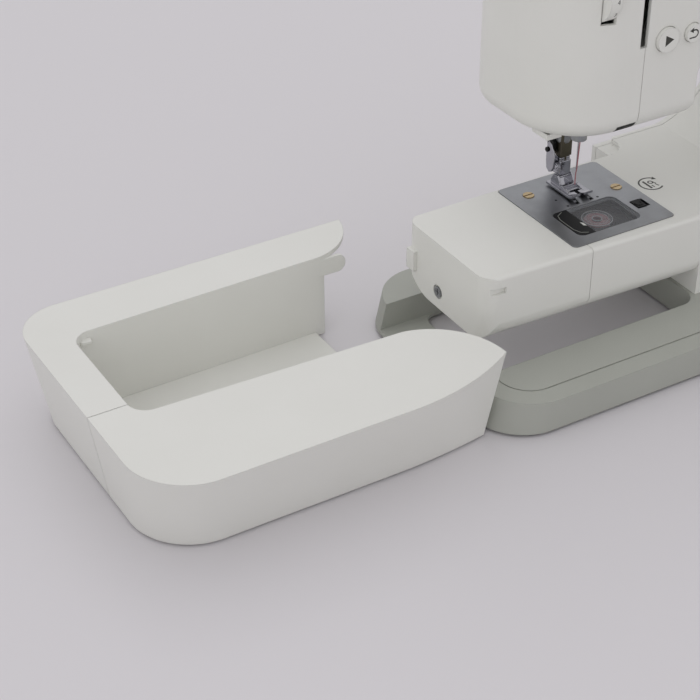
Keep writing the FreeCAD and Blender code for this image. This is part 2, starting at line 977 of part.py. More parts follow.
def end_screw():
    z = bed_height - end_screw_drop
    head = along_x(end_screw_radius, (arm_left - end_screw_proud, arm_left + end_screw_head), end_screw_y, z)
    shank = along_x(screw_core, (arm_left + join_over, arm_left + end_screw_length), end_screw_y, z)
    depth = (arm_left - end_screw_proud - cut_over, arm_left - end_screw_proud + cross_slot_depth)
    slots = []
    for a, b in ((cross_slot_length / 2, cross_slot_width / 2),
                 (cross_slot_width / 2, cross_slot_length / 2)):
        slots.append(block(depth, (end_screw_y - a, end_screw_y + a), (z - b, z + b)))
    return united([head, shank]).cut(slots)


def needle_plate():
    half_x = plate_length / 2
    half_y = plate_depth / 2
    low = plate_top - plate_thick
    plate = plan_prism(rectangle((-half_x, half_x), (-half_y, half_y), plate_corner), (low, plate_top))
    cover = rectangle((cover_left, cover_right), (cover_front, cover_rear), cover_corner)
    through = (low - cut_over, plate_top + cut_over)
    cuts = [plan_prism(cover, (plate_top - cover_thick, plate_top + cut_over)),
            plan_prism(cover, through, cover_ledge),
            block((needle_x - needle_slot_length / 2, needle_x + needle_slot_length / 2),
                  (needle_y - needle_slot_width / 2, needle_y + needle_slot_width / 2), through)]
    for x in feed_bar_places():
        half = feed_bar_width / 2 + feed_slot_gap
        reach = feed_length / 2 + feed_travel + feed_slot_gap
        cuts.append(block((x - half, x + half), (feed_middle - reach, feed_middle + reach), through))
    for x, y in plate_screw_places:
        cuts.append(along_z(screw_core + screw_clear, x, y, through))
        cuts.append(along_z(plate_screw_radius + screw_clear, x, y,
                            (plate_top - plate_screw_head, plate_top + cut_over)))
    x, y = release_x, release_y
    half_x = release_width / 2 + cover_gap
    half_y = release_depth / 2 + cover_gap
    cuts.append(block((x - half_x, x + half_x + release_travel), (y - half_y, y + half_y), through))
    return plate.cut(cuts)


def plate_screws():
    solids = []
    for x, y in plate_screw_places:
        top = plate_top + plate_screw_proud
        head = along_z(plate_screw_radius, x, y, (plate_top - plate_screw_head, top))
        shank = along_z(screw_core, x, y, (bed_height - plate_screw_drop, plate_top))
        slot = block((x - 2 * plate_screw_radius, x + 2 * plate_screw_radius),
                     (y - plate_screw_slot / 2, y + plate_screw_slot / 2),
                     (top - plate_screw_cut, top + cut_over))
        solids.append(united([head, shank]).cut(slot))
    return grouped(solids)


def cover_piece(x):
    plan = rectangle((cover_left + cover_gap, cover_right - cover_gap),
                     (cover_front + cover_gap, cover_rear - cover_gap), cover_corner - cover_gap)
    slab = plan_prism(plan, (plate_top - cover_thick, plate_top))
    return slab.common(block(x, (-far, far), (0, far)))


def cover_latch():
    return cover_piece((-far, cover_left + latch_width))


def cover_window():
    return cover_piece((cover_left + latch_width, far))


def release_button():
    x, y = release_x, release_y
    half_x = release_width / 2
    half_y = release_depth / 2
    low = plate_top - plate_thick
    flange_top = low - slide_gap
    knob = block((x - half_x, x + half_x), (y - half_y, y + half_y),
                 (flange_top - join_over, plate_top + release_proud))
    half_x += release_flange
    half_y += release_flange
    flange = block((x - half_x, x + half_x), (y - half_y, y + half_y),
                   (flange_top - release_flange_thick, flange_top))
    return united([knob, flange])


def bobbin():
    low = hook_floor + hook_wall + case_gap + case_wall + case_gap
    top = low + bobbin_height
    discs = [along_z(bobbin_radius, needle_x, hook_y, (low, low + bobbin_flange)),
             along_z(bobbin_radius, needle_x, hook_y, (top - bobbin_flange, top)),
             along_z(bobbin_core, needle_x, hook_y, (low, top))]
    return united(discs).cut(along_z(winder_radius + bobbin_fit, needle_x, hook_y,
                                     (low - cut_over, top + cut_over)))


def bobbin_thread():
    low = hook_floor + hook_wall + 2 * case_gap + case_wall + bobbin_flange
    high = low + bobbin_height - 2 * bobbin_flange
    body = along_z(thread_radius, needle_x, hook_y, (low, high))
    return body.cut(along_z(bobbin_core, needle_x, hook_y, (low - cut_over, high + cut_over)))


def bobbin_case():
    outer = hook_radius - hook_wall - case_gap
    low = hook_floor + hook_wall + case_gap
    cup = along_z(outer, needle_x, hook_y, (low, hook_top))
    cup = cup.cut(along_z(bobbin_radius + case_gap, needle_x, hook_y, (low + case_wall, hook_top + cut_over)))
    underside = along_z(outer - case_wall, needle_x, hook_y, (low - cut_over, hook_top - case_wall))
    well = along_z(bobbin_radius + case_gap + case_wall, needle_x, hook_y, (low - 2 * cut_over, hook_top))
    return cup.cut(underside.cut(well))


def rotary_hook():
    cup = along_z(hook_radius, needle_x, hook_y, (hook_floor, hook_top))
    cup = cup.cut(along_z(hook_radius - hook_wall, needle_x, hook_y,
                          (hook_floor + hook_wall, hook_top + cut_over)))
    low = lower_shaft_height - gear_width / 2 - join_over
    return united([cup, along_z(hook_shaft_radius, needle_x, hook_y, (low, hook_floor + join_over))])


# Toothed disc lying in the plan, with its teeth cut straight
def toothed(radius, tooth, teeth, z, bore):
    points = []
    for i in range(teeth):
        for share, reach in zip(tooth_shares, (radius - tooth, radius - tooth, radius, radius)):
            angle = 2 * math.pi * (i + share) / teeth
            points.append(Vector(reach * math.cos(angle), reach * math.sin(angle), z[0]))
    disc = Part.Face(Part.makePolygon(points + points[:1])).extrude(Vector(0, 0, z[1] - z[0]))
    return disc.cut(along_z(bore, 0, 0, (z[0] - cut_over, z[1] + cut_over)))


def hook_gear():
    middle = lower_shaft_height
    gear = toothed(hook_gear_radius, gear_tooth / 2, hook_gear_teeth,
                   (middle - gear_width / 2, middle + gear_width / 2), hook_shaft_radius)
    gear.translate(Vector(needle_x, hook_y, 0))
    return gear


def lower_gear():
    gear = toothed(lower_gear_radius, gear_tooth, lower_gear_teeth,
                   (-gear_width / 2, gear_width / 2), lower_shaft_radius)
    gear.rotate(Vector(0, 0, 0), Vector(0, 1, 0), 90)
    gear.translate(Vector(needle_x, lower_shaft_y, lower_shaft_height))
    return gear


def lower_shaft():
    right = timing_left + timing_width + lower_shaft_tail
    return along_x(lower_shaft_radius, (lower_shaft_left, right), lower_shaft_y, lower_shaft_height)


def pulley(radius, bore, left, width, y, z):
    disc = along_x(radius, (left, left + width), y, z)
    return disc.cut(along_x(bore, (left - cut_over, left + width + cut_over), y, z))


# Loop round two discs that turn about lines along x, as the outside of a belt
def belt_prism(low_place, low_radius, high_place, high_radius, x):
    start = Vector(0, low_place[0], low_place[1])
    end = Vector(0, high_place[0], high_place[1])
    line = end - start
    tilt = math.asin((high_radius - low_radius) / line.Length)
    lean = math.atan2(line.z, line.y)

    def rim(centre, radius, angle):
        return centre + Vector(0, radius * math.cos(lean + angle), radius * math.sin(lean + angle))

    side = math.pi / 2 + tilt
    right = Part.LineSegment(rim(start, low_radius, -side), rim(end, high_radius, -side))
    top = Part.Arc(rim(end, high_radius, -side), rim(end, high_radius, 0), rim(end, high_radius, side))
    left = Part.LineSegment(rim(end, high_radius, side), rim(start, low_radius, side))
    foot = Part.Arc(rim(start, low_radius, side), rim(start, low_radius, math.pi),
                    rim(start, low_radius, -side))
    wire = Part.Wire([edge.toShape() for edge in (right, top, left, foot)])
    prism = Part.Face(wire).extrude(Vector(x[1] - x[0], 0, 0))
    prism.translate(Vector(x[0], 0, 0))
    return prism


def belt(low_place, low_radius, high_place, high_radius, x):
    inner = belt_gap
    outer = belt_gap + belt_thick
    loop = belt_prism(low_place, low_radius + outer, high_place, high_radius + outer, x)
    hole = belt_prism(low_place, low_radius + inner, high_place, high_radius + inner,
                      (x[0] - cut_over, x[1] + cut_over))
    return loop.cut(hole)


def timing_belt():
    span = (timing_left + belt_side_gap, timing_left + timing_width - belt_side_gap)
    return belt((lower_shaft_y, lower_shaft_height), timing_radius, (needle_y, shaft_height), timing_radius,
                span)


def drive_belt():
    span = (drive_left + belt_side_gap, drive_left + drive_width - belt_side_gap)
    return belt((motor_y, motor_height), drive_small_radius, (needle_y, shaft_height), drive_big_radius, span)


def motor():
    body = along_x(motor_radius, (motor_left, motor_right), motor_y, motor_height)
    nose_end = motor_right + motor_nose_length
    nose = along_x(motor_nose_radius, (motor_right, nose_end), motor_y, motor_height)
    start = motor_right - motor_shaft_depth - motor_bore_gap
    bore = along_x(motor_shaft_radius + bar_fit, (start, nose_end + cut_over), motor_y, motor_height)
    return united([body, nose]).cut(bore)


def motor_pulley():
    end = drive_left + drive_width
    shaft = along_x(motor_shaft_radius, (motor_right - motor_shaft_depth, end), motor_y, motor_height)
    return united([shaft, along_x(drive_small_radius, (drive_left, end), motor_y, motor_height)])


def upper_shaft():
    return along_x(shaft_radius, (crank_left, shaft_right), needle_y, shaft_height)


def crank():
    right = crank_left + crank_thick
    disc = along_x(crank_disc, (crank_left, right), needle_y, shaft_height)
    disc = disc.cut(along_x(shaft_radius, (crank_left - cut_over, right + cut_over), needle_y, shaft_height))
    pin_left = rod_left - lug_pin_gap / 2
    pin = along_x(crank_pin_radius, (pin_left, crank_left + join_over), needle_y, shaft_height + crank_radius)
    return united([disc, pin])


def connecting_rod():
    x = (rod_left, rod_left + rod_thick)
    high = shaft_height + crank_radius
    low = high - rod_length
    half = rod_width / 2
    rod = united([along_x(half, x, needle_y, high), along_x(half, x, needle_y, low),
                  block(x, (needle_y - half + rod_waist, needle_y + half - rod_waist), (low, high))])
    for z in (low, high):
        bore = along_x(crank_pin_radius + bar_fit, (x[0] - cut_over, x[1] + cut_over), needle_y, z)
        rod = rod.cut(bore)
    return rod


def needle_bar():
    bar = along_z(needle_bar_radius, needle_x, needle_y, (needle_bar_low, needle_bar_top))
    bar = united([bar] + drive_lug())
    bore = (needle_bar_low - cut_over, needle_bar_low + shank_length)
    return bar.cut(along_z(shank_radius, needle_x, needle_y, bore))


def drive_lug():
    middle = shaft_height + crank_radius - rod_length
    ring = along_z(needle_bar_radius + lug_wall, needle_x, needle_y,
                   (middle - lug_height / 2, middle + lug_height / 2))
    pin_start = needle_x + needle_bar_radius
    return [ring, along_x(crank_pin_radius, (pin_start, rod_left - lug_pin_gap), needle_y, middle)]


def needle_clamp():
    z = (needle_bar_low - clamp_lip, needle_bar_low + clamp_length)
    ring = along_z(clamp_radius, needle_x, needle_y, z)
    ring = ring.cut(along_z(needle_bar_radius, needle_x, needle_y, (z[0] - cut_over, z[1] + cut_over)))
    return ring.cut(clamp_screw_core(screw_gap))


def clamp_screw_core(gap):
    z = needle_bar_low + clamp_length / 2
    start = needle_x + needle_bar_radius + clamp_screw_gap
    return along_x(screw_core + gap, (start, needle_x + clamp_radius + clamp_screw_reach), needle_y, z)


def clamp_screw():
    z = needle_bar_low + clamp_length / 2
    left = needle_x + clamp_radius + clamp_knob_gap
    return united([clamp_screw_core(0), along_x(clamp_knob_radius, (left, left + clamp_knob_length),
                                                needle_y, z)])


def needle():
    point = plate_top + needle_rise
    shoulder = point + needle_point_length
    tip = Part.makeCone(needle_point_radius, needle_radius, needle_point_length,
                        Vector(needle_x, needle_y, point), Vector(0, 0, 1))
    blade = along_z(needle_radius, needle_x, needle_y, (shoulder, needle_bar_low))
    shank = along_z(shank_radius, needle_x, needle_y,
                    (needle_bar_low - shank_proud, needle_bar_low + shank_length))
    return united([tip, blade, shank])


def feed_bar_places():
    return (needle_x - feed_bar_spread, needle_x + feed_bar_spread)


def feed_dog():
    y = (feed_middle - feed_length / 2, feed_middle + feed_length / 2)
    seat = hook_top + feed_seat_gap
    seat_top = seat + feed_seat_thick
    half = feed_bar_spread + feed_bar_width / 2
    base = block((needle_x - half, needle_x + half), y, (seat, seat_top))
    base = base.cut(block((needle_x - feed_hole_length / 2, needle_x + feed_hole_length / 2),
                          (needle_y - feed_hole_width / 2, needle_y + feed_hole_width / 2),
                          (seat - cut_over, seat_top + cut_over)))
    carrier = block((needle_x - half, needle_x + half), (frame_beam_rear - frame_beam_thick, y[1]),
                    (beam_top + slide_gap, seat_top - feed_seat_thick / 2))
    solids = [base, carrier]
    top = plate_top + feed_rise
    pitch = feed_length / feed_teeth
    for x in feed_bar_places():
        bar = block((x - feed_bar_width / 2, x + feed_bar_width / 2), y,
                    (seat_top - feed_seat_thick / 2, top))
        for i in range(feed_teeth):
            notch = (y[0] + pitch * i, y[0] + pitch * (i + feed_notch_share))
            bar = bar.cut(block((x - feed_bar_width, x + feed_bar_width), notch, (top - feed_tooth, far)))
        solids.append(bar)
    return united(solids)


def presser_block():
    return (bed_height + holder_high - presser_block_low, bed_height + holder_high + presser_block_high)


def presser_bar():
    top = upper_boss + boss_height + presser_over
    bar = along_z(presser_radius, needle_x, presser_y, (bed_height + presser_low, top))
    half = presser_radius + presser_block_extra
    end = block((needle_x - half, needle_x + half), (presser_y - half, presser_y + half), presser_block())
    return united([bar, end])


# Ankle that clips the foot, with the side bracket that the thumb screw holds to the bar
def foot_holder():
    half = holder_width / 2
    y = (presser_y - holder_depth / 2, presser_y + holder_depth / 2)
    ankle = block((needle_x - half, needle_x + half), y,
                  (bed_height + holder_low, presser_block()[0] - bar_fit))
    bracket = block((needle_x - half - holder_bracket, needle_x - half),
                    (y[0] + holder_bracket_back, y[1] + holder_bracket_back),
                    (bed_height + holder_low + holder_bracket_rise,
                     bed_height + holder_high + holder_bracket_top))
    holder = united([ankle, bracket])
    bore = (bed_height + presser_low - cut_over, far)
    holder = holder.cut(along_z(presser_radius + bar_fit, needle_x, presser_y, bore))
    groove = along_x(foot_pin_radius + foot_pin_gap,
                     (needle_x - half - holder_bracket, needle_x + half + cut_over),
                     foot_pin_y, bed_height + foot_pin_rise)
    return holder.cut(groove).cut(holder_screw_core(screw_gap))


def holder_screw_core(gap):
    z = bed_height + holder_low + holder_screw_rise
    right = needle_x - holder_width / 2 + holder_screw_bite
    return along_x(screw_core + gap, (right - holder_screw_length, right), presser_y + holder_screw_back, z)


def holder_screw():
    z = bed_height + holder_low + holder_screw_rise
    right = needle_x - holder_width / 2 - holder_bracket - screw_gap
    knob = along_x(holder_knob_radius, (right - holder_knob_length, right), presser_y + holder_screw_back, z)
    return united([holder_screw_core(0), knob])


def presser_foot():
    sole_low = plate_top + foot_rise
    y = (foot_rear - foot_length, foot_rear)
    half = foot_width / 2
    sole = block((needle_x - half, needle_x + half), y, (sole_low, sole_low + foot_sole))
    sole = sole.cut(block((needle_x - foot_slot_length / 2, needle_x + foot_slot_length / 2),
                          (needle_y - foot_slot_width / 2, needle_y + foot_slot_width / 2), (0, far)))
    sole = sole.cut(block((needle_x - foot_toe_slot / 2, needle_x + foot_toe_slot / 2),
                          (y[0] - cut_over, needle_y), (0, far)))
    pin_z = bed_height + foot_pin_rise
    inner = holder_width / 2 + slide_gap
    ear_y = (foot_pin_y - foot_ear_length / 2, foot_pin_y + foot_ear_length / 2)
    ear_z = (sole_low + foot_sole / 2, pin_z + foot_ear_rise)
    solids = [sole]
    for side in (needle_x - inner - foot_ear, needle_x + inner):
        solids.append(block((side, side + foot_ear), ear_y, ear_z))
    span = (needle_x - inner - foot_ear, needle_x + inner + foot_ear)
    solids.append(along_x(foot_pin_radius, span, foot_pin_y, pin_z))
    return united(solids)


# Lever at the back of the head that lifts the presser bar
def presser_lever():
    z = lever_axis
    x = (needle_x - lever_thick / 2, needle_x + lever_thick / 2)
    height = (z - lever_height / 2, z + lever_height / 2)
    end = lever_y + lever_length
    hub = along_x(lever_hub, x, lever_y, z)
    arm = block(x, (lever_y, end), height)
    handle = block((x[0] - lever_handle_extra, x[1] + lever_handle_extra), (end - lever_handle, end), height)
    lever = united([hub, arm, handle])
    lever = lever.cut(along_x(pivot_radius + bar_fit, (x[0] - cut_over, x[1] + cut_over), lever_y, z))
    lever.rotate(Vector(0, lever_y, z), Vector(1, 0, 0), -lever_droop)
    return lever


def take_up_lever():
    x = (take_up_left, take_up_left + take_up_thick)
    through = (x[0] - cut_over, x[1] + cut_over)
    tip_y = take_up_y - take_up_reach
    lever = united([along_x(take_up_hub, x, take_up_y, take_up_height),
                    along_x(take_up_tip, x, tip_y, take_up_height),
                    block(x, (tip_y, take_up_y), (take_up_height - take_up_width / 2,
                                                  take_up_height + take_up_width / 2))])
    lever = lever.cut(along_x(take_up_eye, through, tip_y, take_up_height))
    lever = lever.cut(along_x(pivot_radius + bar_fit, through, take_up_y, take_up_height))
    lever.rotate(Vector(0, take_up_y, take_up_height), Vector(1, 0, 0), -take_up_angle)
    return lever


def tension_y():
    return casing_front + tension_radius - tension_proud


def tension_dial():
    x = (tension_x - tension_width / 2, tension_x + tension_width / 2)
    disc = along_x(tension_radius, x, tension_y(), tension_height)
    through = (x[0] - cut_over, x[1] + cut_over)
    return disc.cut(along_x(pivot_radius + bar_fit, through, tension_y(), tension_height))


def threader_block(gap, z):
    return block((threader_x - threader_tab_left - gap, threader_x + threader_tab_right + gap),
                 (threader_y - threader_tab_front - gap, threader_y + threader_tab_rear + gap), z)


def threader_lever():
    bar = block((threader_x - threader_width / 2, threader_x + threader_width / 2),
                (threader_y - threader_depth / 2, threader_y + threader_depth / 2),
                (head_under - threader_drop, upper_boss + guide_height + threader_over))
    low = head_under - threader_tab_drop
    return united([bar, threader_block(0, (low, low + threader_tab_thick))])


def lamp_block(gap):
    x = (lamp_left + gap, lamp_left + lamp_width - gap)
    y = (needle_y - lamp_depth / 2 + gap, needle_y + lamp_depth / 2 - gap)
    return block(x, y, (head_under - lamp_proud, head_under + wall + lamp_flange_thick / 2))


def lamp_lens():
    x = (lamp_left - lamp_flange, lamp_left + lamp_width + lamp_flange)
    y = (needle_y - lamp_depth / 2 - lamp_flange, needle_y + lamp_depth / 2 + lamp_flange)
    flange = block(x, y, (head_under + wall, head_under + wall + lamp_flange_thick))
    return united([lamp_block(slide_gap), flange])


def push_button(name):
    x, radius = button_places[name]
    front = casing_front - button_proud
    stem = along_y(radius, x, (front, front + button_depth), control_height)
    flange_front = casing_front + wall + slide_gap
    flange = along_y(radius + button_flange, x, (flange_front, flange_front + button_flange_thick),
                     control_height)
    return united([stem, flange])


def speed_slider():
    middle = (slider_left + slider_right) / 2
    half = slider_knob / 2
    stem_half = slider_slot / 2 - slider_stem_gap
    inner = casing_front + wall + slide_gap
    height = (control_height - slider_height / 2, control_height + slider_height / 2)
    knob = block((middle - half, middle + half), (casing_front - slider_proud, casing_front - slide_gap),
                 height)
    stem = block((middle - slider_stem / 2, middle + slider_stem / 2),
                 (casing_front - join_over, inner + join_over),
                 (control_height - stem_half, control_height + stem_half))
    half += slider_keeper
    keeper = block((middle - half, middle + half), (inner, inner + button_flange_thick), height)
    return united([knob, stem, keeper])


def display_panel():
    gap = button_gap
    inner = casing_front + wall
    glass = block((screen_left + gap, screen_right - gap),
                  (casing_front - screen_proud, inner + screen_flange_thick / 2),
                  (screen_low + gap, screen_high - gap))
    flange_front = inner + screen_flange_gap
    flange = block((screen_left - screen_flange, screen_right + screen_flange),
                   (flange_front, flange_front + screen_flange_thick),
                   (screen_low - screen_flange, screen_high + screen_flange))
    return united([glass, flange])


def selector_dial():
    inner = casing_front + wall
    collar_front = inner + slide_gap
    cap = along_y(dial_radius, dial_x, (casing_front - dial_proud, casing_front - dial_gap), dial_height)
    shaft = along_y(dial_shaft, dial_x, (casing_front - join_over, inner + dial_tail), dial_height)
    collar = along_y(dial_shaft + dial_collar, dial_x, (collar_front, collar_front + dial_collar_thick),
                     dial_height)
    return united([cap, shaft, collar])


def spool_height():
    return lid_seam + spool_rise


def spool_pin():
    return along_x(spool_radius, (spool_left, spool_left + spool_length), spool_y, spool_height())


def spool_cap():
    left = spool_left + spool_cap_start
    cone = Part.makeCone(spool_cap_small_radius, spool_cap_radius, spool_cap_thick,
                         Vector(left, spool_y, spool_height()), Vector(1, 0, 0))
    through = (left - cut_over, left + spool_cap_thick + cut_over)
    return cone.cut(along_x(spool_radius + bar_fit, through, spool_y, spool_height()))


def winder_spindle():
    under = top_height - wall - slide_gap
    flange = along_z(winder_flange, winder_x, winder_y, (under - winder_flange_thick, under))
    seat = along_z(winder_seat_radius, winder_x, winder_y, (under - join_over, top_height))
    cone = Part.makeCone(winder_seat_radius, winder_radius, winder_seat_rise,
                         Vector(winder_x, winder_y, top_height), Vector(0, 0, 1))
    pin = along_z(winder_radius, winder_x, winder_y, (top_height, top_height + winder_rise))
    return united([flange, seat, cone, pin])


def power_switch():
    rocker = block((body_right - switch_depth, body_right + switch_proud),
                   (switch_y - switch_width / 2, switch_y + switch_width / 2),
                   (switch_height - switch_length / 2, switch_height + switch_length / 2))
    return united([rocker, switch_axis(switch_pin_radius, switch_pin_reach)])


def switch_axis(radius, reach):
    return along_y(radius, body_right - wall / 2, (switch_y - reach, switch_y + reach), switch_height)


def inlet_block(x, width, length):
    return block(x, (inlet_y - width / 2, inlet_y + width / 2),
                 (switch_height - length / 2, switch_height + length / 2))


def power_inlet():
    face = body_right + inlet_proud
    inner = body_right - wall
    back = face - inlet_depth
    body = inlet_block((back, face), inlet_width, inlet_length)
    flange = inlet_block((inner - inlet_flange_thick, inner), inlet_width + 2 * inlet_flange,
                         inlet_length + 2 * inlet_flange)
    body = united([body, flange])
    body = body.cut(inlet_block((face - socket_depth, face + cut_over), socket_width, socket_length))
    pins = [along_x(socket_pin_radius, (face - socket_depth - join_over, face - socket_pin_sink),
                    inlet_y + side,
                    switch_height) for side in (-socket_pin_spread, socket_pin_spread)]
    return united([body] + pins)


def handwheel():
    left = body_right + wheel_gap
    right = left + wheel_width
    disc = along_x(wheel_radius, (left, right), needle_y, shaft_height)
    dish = along_x(wheel_radius - wheel_lip, (right - wheel_dish, right + cut_over), needle_y, shaft_height)
    hub = along_x(wheel_hub_radius, (right - wheel_dish - join_over, right - wheel_hub_sink), needle_y,
                  shaft_height)
    bore = along_x(shaft_radius, (left - cut_over, shaft_right), needle_y, shaft_height)
    return united([disc.cut(dish), hub]).cut(bore)


# Places of bushes: centre, direction, start and length of the wall they sit in, and shaft radius
def bush_seats():
    low = lower_boss
    high = upper_boss
    seats = []
    for z in (low, high):
        seats.append((Vector(needle_x, needle_y, z), Vector(0, 0, 1), boss_height, needle_bar_radius))
        seats.append((Vector(needle_x, presser_y, z), Vector(0, 0, 1), boss_height, presser_radius))
    for x in (left_bracket, right_bracket):
        seats.append((Vector(x, needle_y, shaft_height), Vector(1, 0, 0), bracket_width, shaft_radius))
    for x in (hook_bracket, middle_bracket, column_bracket):
        seats.append((Vector(x, lower_shaft_y, lower_shaft_height), Vector(1, 0, 0), bracket_width,
                      lower_shaft_radius))
    seats.append((Vector(needle_x, hook_y, hook_bush_low), Vector(0, 0, 1), hook_bush_height,
                  hook_shaft_radius))
    return seats


def bushes():
    solids = []
    for start, direction, length, radius in bush_seats():
        sleeve = Part.makeCylinder(radius + bush_wall, length, start, direction)
        solids.append(sleeve.cut(Part.makeCylinder(radius + bar_fit, length, start, direction)))
    return grouped(solids)


# Cast frame: column, arm plate, beam in the free arm, side plate in the head and their brackets
def inner_frame():
    plate = (frame_y, frame_y + frame_thick)
    column = (timing_left - column_margin, motor_right + motor_margin)
    beam_y = (frame_beam_rear - frame_beam_thick, frame_beam_rear)
    beam_z = (beam_top - beam_height, beam_top)
    arm_z = (shaft_height - frame_reach, shaft_height + frame_reach)
    screw_z = bed_height - end_screw_drop
    link = (column[0], column[0] + link_width)
    solids = [block(column, plate, (base_height, arm_z[1])),
              block(column, (frame_y - frame_foot_front, body_rear - wall - frame_foot_gap),
                    (base_height, base_height + frame_foot_height)),
              block((side_plate_left, column[1]), plate, arm_z),
              block((frame_left, link[1]), beam_y, beam_z),
              block(link, (beam_y[0], plate[1]), beam_z),
              block((arm_left + end_block_gap, frame_left + join_over),
                    (end_screw_y - end_block_front, beam_y[0] + end_block_lap),
                    (screw_z - end_block_below, screw_z - end_block_below + end_block_height))]
    solids += bar_bracket(plate)
    solids += shaft_brackets(plate, beam_y)
    solids += small_brackets(plate, beam_y)
    return bored_frame(united(solids))


def bored_frame(frame):
    for start, direction, length, radius in bush_seats():
        frame = frame.cut(Part.makeCylinder(radius + bush_wall, length, start, direction))
    for x, z in case_screw_places:
        frame = frame.cut(along_y(screw_core, x, (frame_y - cut_over, frame_y + frame_thick + cut_over), z))
    for x, y in plate_screw_places:
        frame = frame.cut(along_z(screw_core, x, y, (bed_height - plate_screw_drop - cut_over, bed_height)))
    frame = frame.cut(along_x(screw_core, (arm_left, frame_left), end_screw_y, bed_height - end_screw_drop))
    return frame.cut(along_x(motor_radius, (motor_left, motor_right), motor_y, motor_height))


def bar_bracket(plate):
    side = (side_plate_left, side_plate_left + side_plate_thick)
    low = lower_boss
    high = upper_boss
    boss_x = (side[1] - boss_lap, needle_x + boss_half)
    boss_y = (needle_y - boss_half - boss_margin, plate[0] + join_over)
    guide_left = threader_x + threader_width / 2 + slide_gap
    return [block(side, (tension_y() - side_plate_margin, plate[1]),
                  (high, tension_height + side_plate_rise)),
            block(side, (boss_y[0], lever_y + lever_hub), (low, high + join_over)),
            block(boss_x, boss_y, (low, low + boss_height)),
            block(boss_x, boss_y, (high, high + boss_height)),
            along_x(pivot_radius, (side[0], needle_x + lever_thick / 2 + pivot_over), lever_y, lever_axis),
            along_x(pivot_radius, (side[0], take_up_left + take_up_thick + pivot_over), take_up_y,
                    take_up_height),
            along_x(pivot_radius, (tension_x - tension_width / 2 - pivot_tail, side[1]), tension_y(),
                    tension_height),
            block((guide_left, side[1]), (threader_y - guide_half, threader_y + guide_half),
                  (high, high + guide_height))]


def shaft_brackets(plate, beam_y):
    solids = []
    for x in (left_bracket, right_bracket):
        solids.append(block((x, x + bracket_width), (needle_y - upper_bracket_half, plate[1]),
                            (shaft_height - upper_bracket_half, shaft_height + upper_bracket_half)))
    for x in (hook_bracket, middle_bracket, column_bracket):
        solids.append(block((x, x + bracket_width),
                            (lower_shaft_y - lower_bracket_front, beam_y[0] + lower_bracket_lap),
                            (lower_shaft_height - lower_bracket_half,
                             lower_shaft_height + lower_bracket_half)))
    bush_z = (hook_bush_low, hook_bush_low + hook_bush_height)
    left = hook_bracket - hook_bracket_reach
    half = hook_shaft_radius + bush_wall + hook_bracket_margin
    solids.append(block((left, needle_x + half), (hook_y - half, hook_y + half), bush_z))
    solids.append(block((left, left + hook_bracket_width), (hook_y - half, beam_y[1]), bush_z))
    return solids


# Posts under the plate screws, motor saddle, spool holder and bobbin-winder shelf
def small_brackets(plate, beam_y):
    solids = []
    half = post_block / 2
    for x, y in plate_screw_places:
        solids.append(along_z(post_radius, x, y, (beam_top - post_depth, plate_top - plate_thick)))
        solids.append(block((x - half, x + half), (y - half, beam_y[1]), (beam_top - post_depth, beam_top)))
    solids.append(block((motor_left + saddle_inset, motor_right - saddle_inset), (motor_y, plate[1]),
                        (motor_height - saddle_half, motor_height + saddle_half)))
    end = spool_left + spool_length
    solids.append(block((end, end + spool_bracket), (spool_y - spool_bracket_half, plate[1]),
                        (shaft_height + spool_bracket_rise, spool_height() + spool_bracket_half)))
    shelf_top = top_height - wall - 2 * slide_gap - winder_flange_thick
    shelf = (winder_x - winder_shelf_half, winder_x + winder_shelf_half)
    solids.append(block(shelf, (winder_y - winder_shelf_front, plate[1]),
                        (shelf_top - winder_shelf_thick, shelf_top)))
    solids.append(block(shelf, plate, (shaft_height, shelf_top)))
    return solids


def case_screws():
    solids = []
    top = body_rear + case_screw_proud
    for x, z in case_screw_places:
        head = along_y(case_screw_radius, x, (body_rear - case_screw_head, top), z)
        slot = block((x - case_screw_radius, x + case_screw_radius),
                     (top - case_screw_slot_depth, top + cut_over),
                     (z - case_screw_slot / 2, z + case_screw_slot / 2))
        shank = along_y(screw_core, x, (frame_y + case_screw_bite, body_rear), z)
        solids.append(united([head, shank]).cut(slot))
    return grouped(solids)


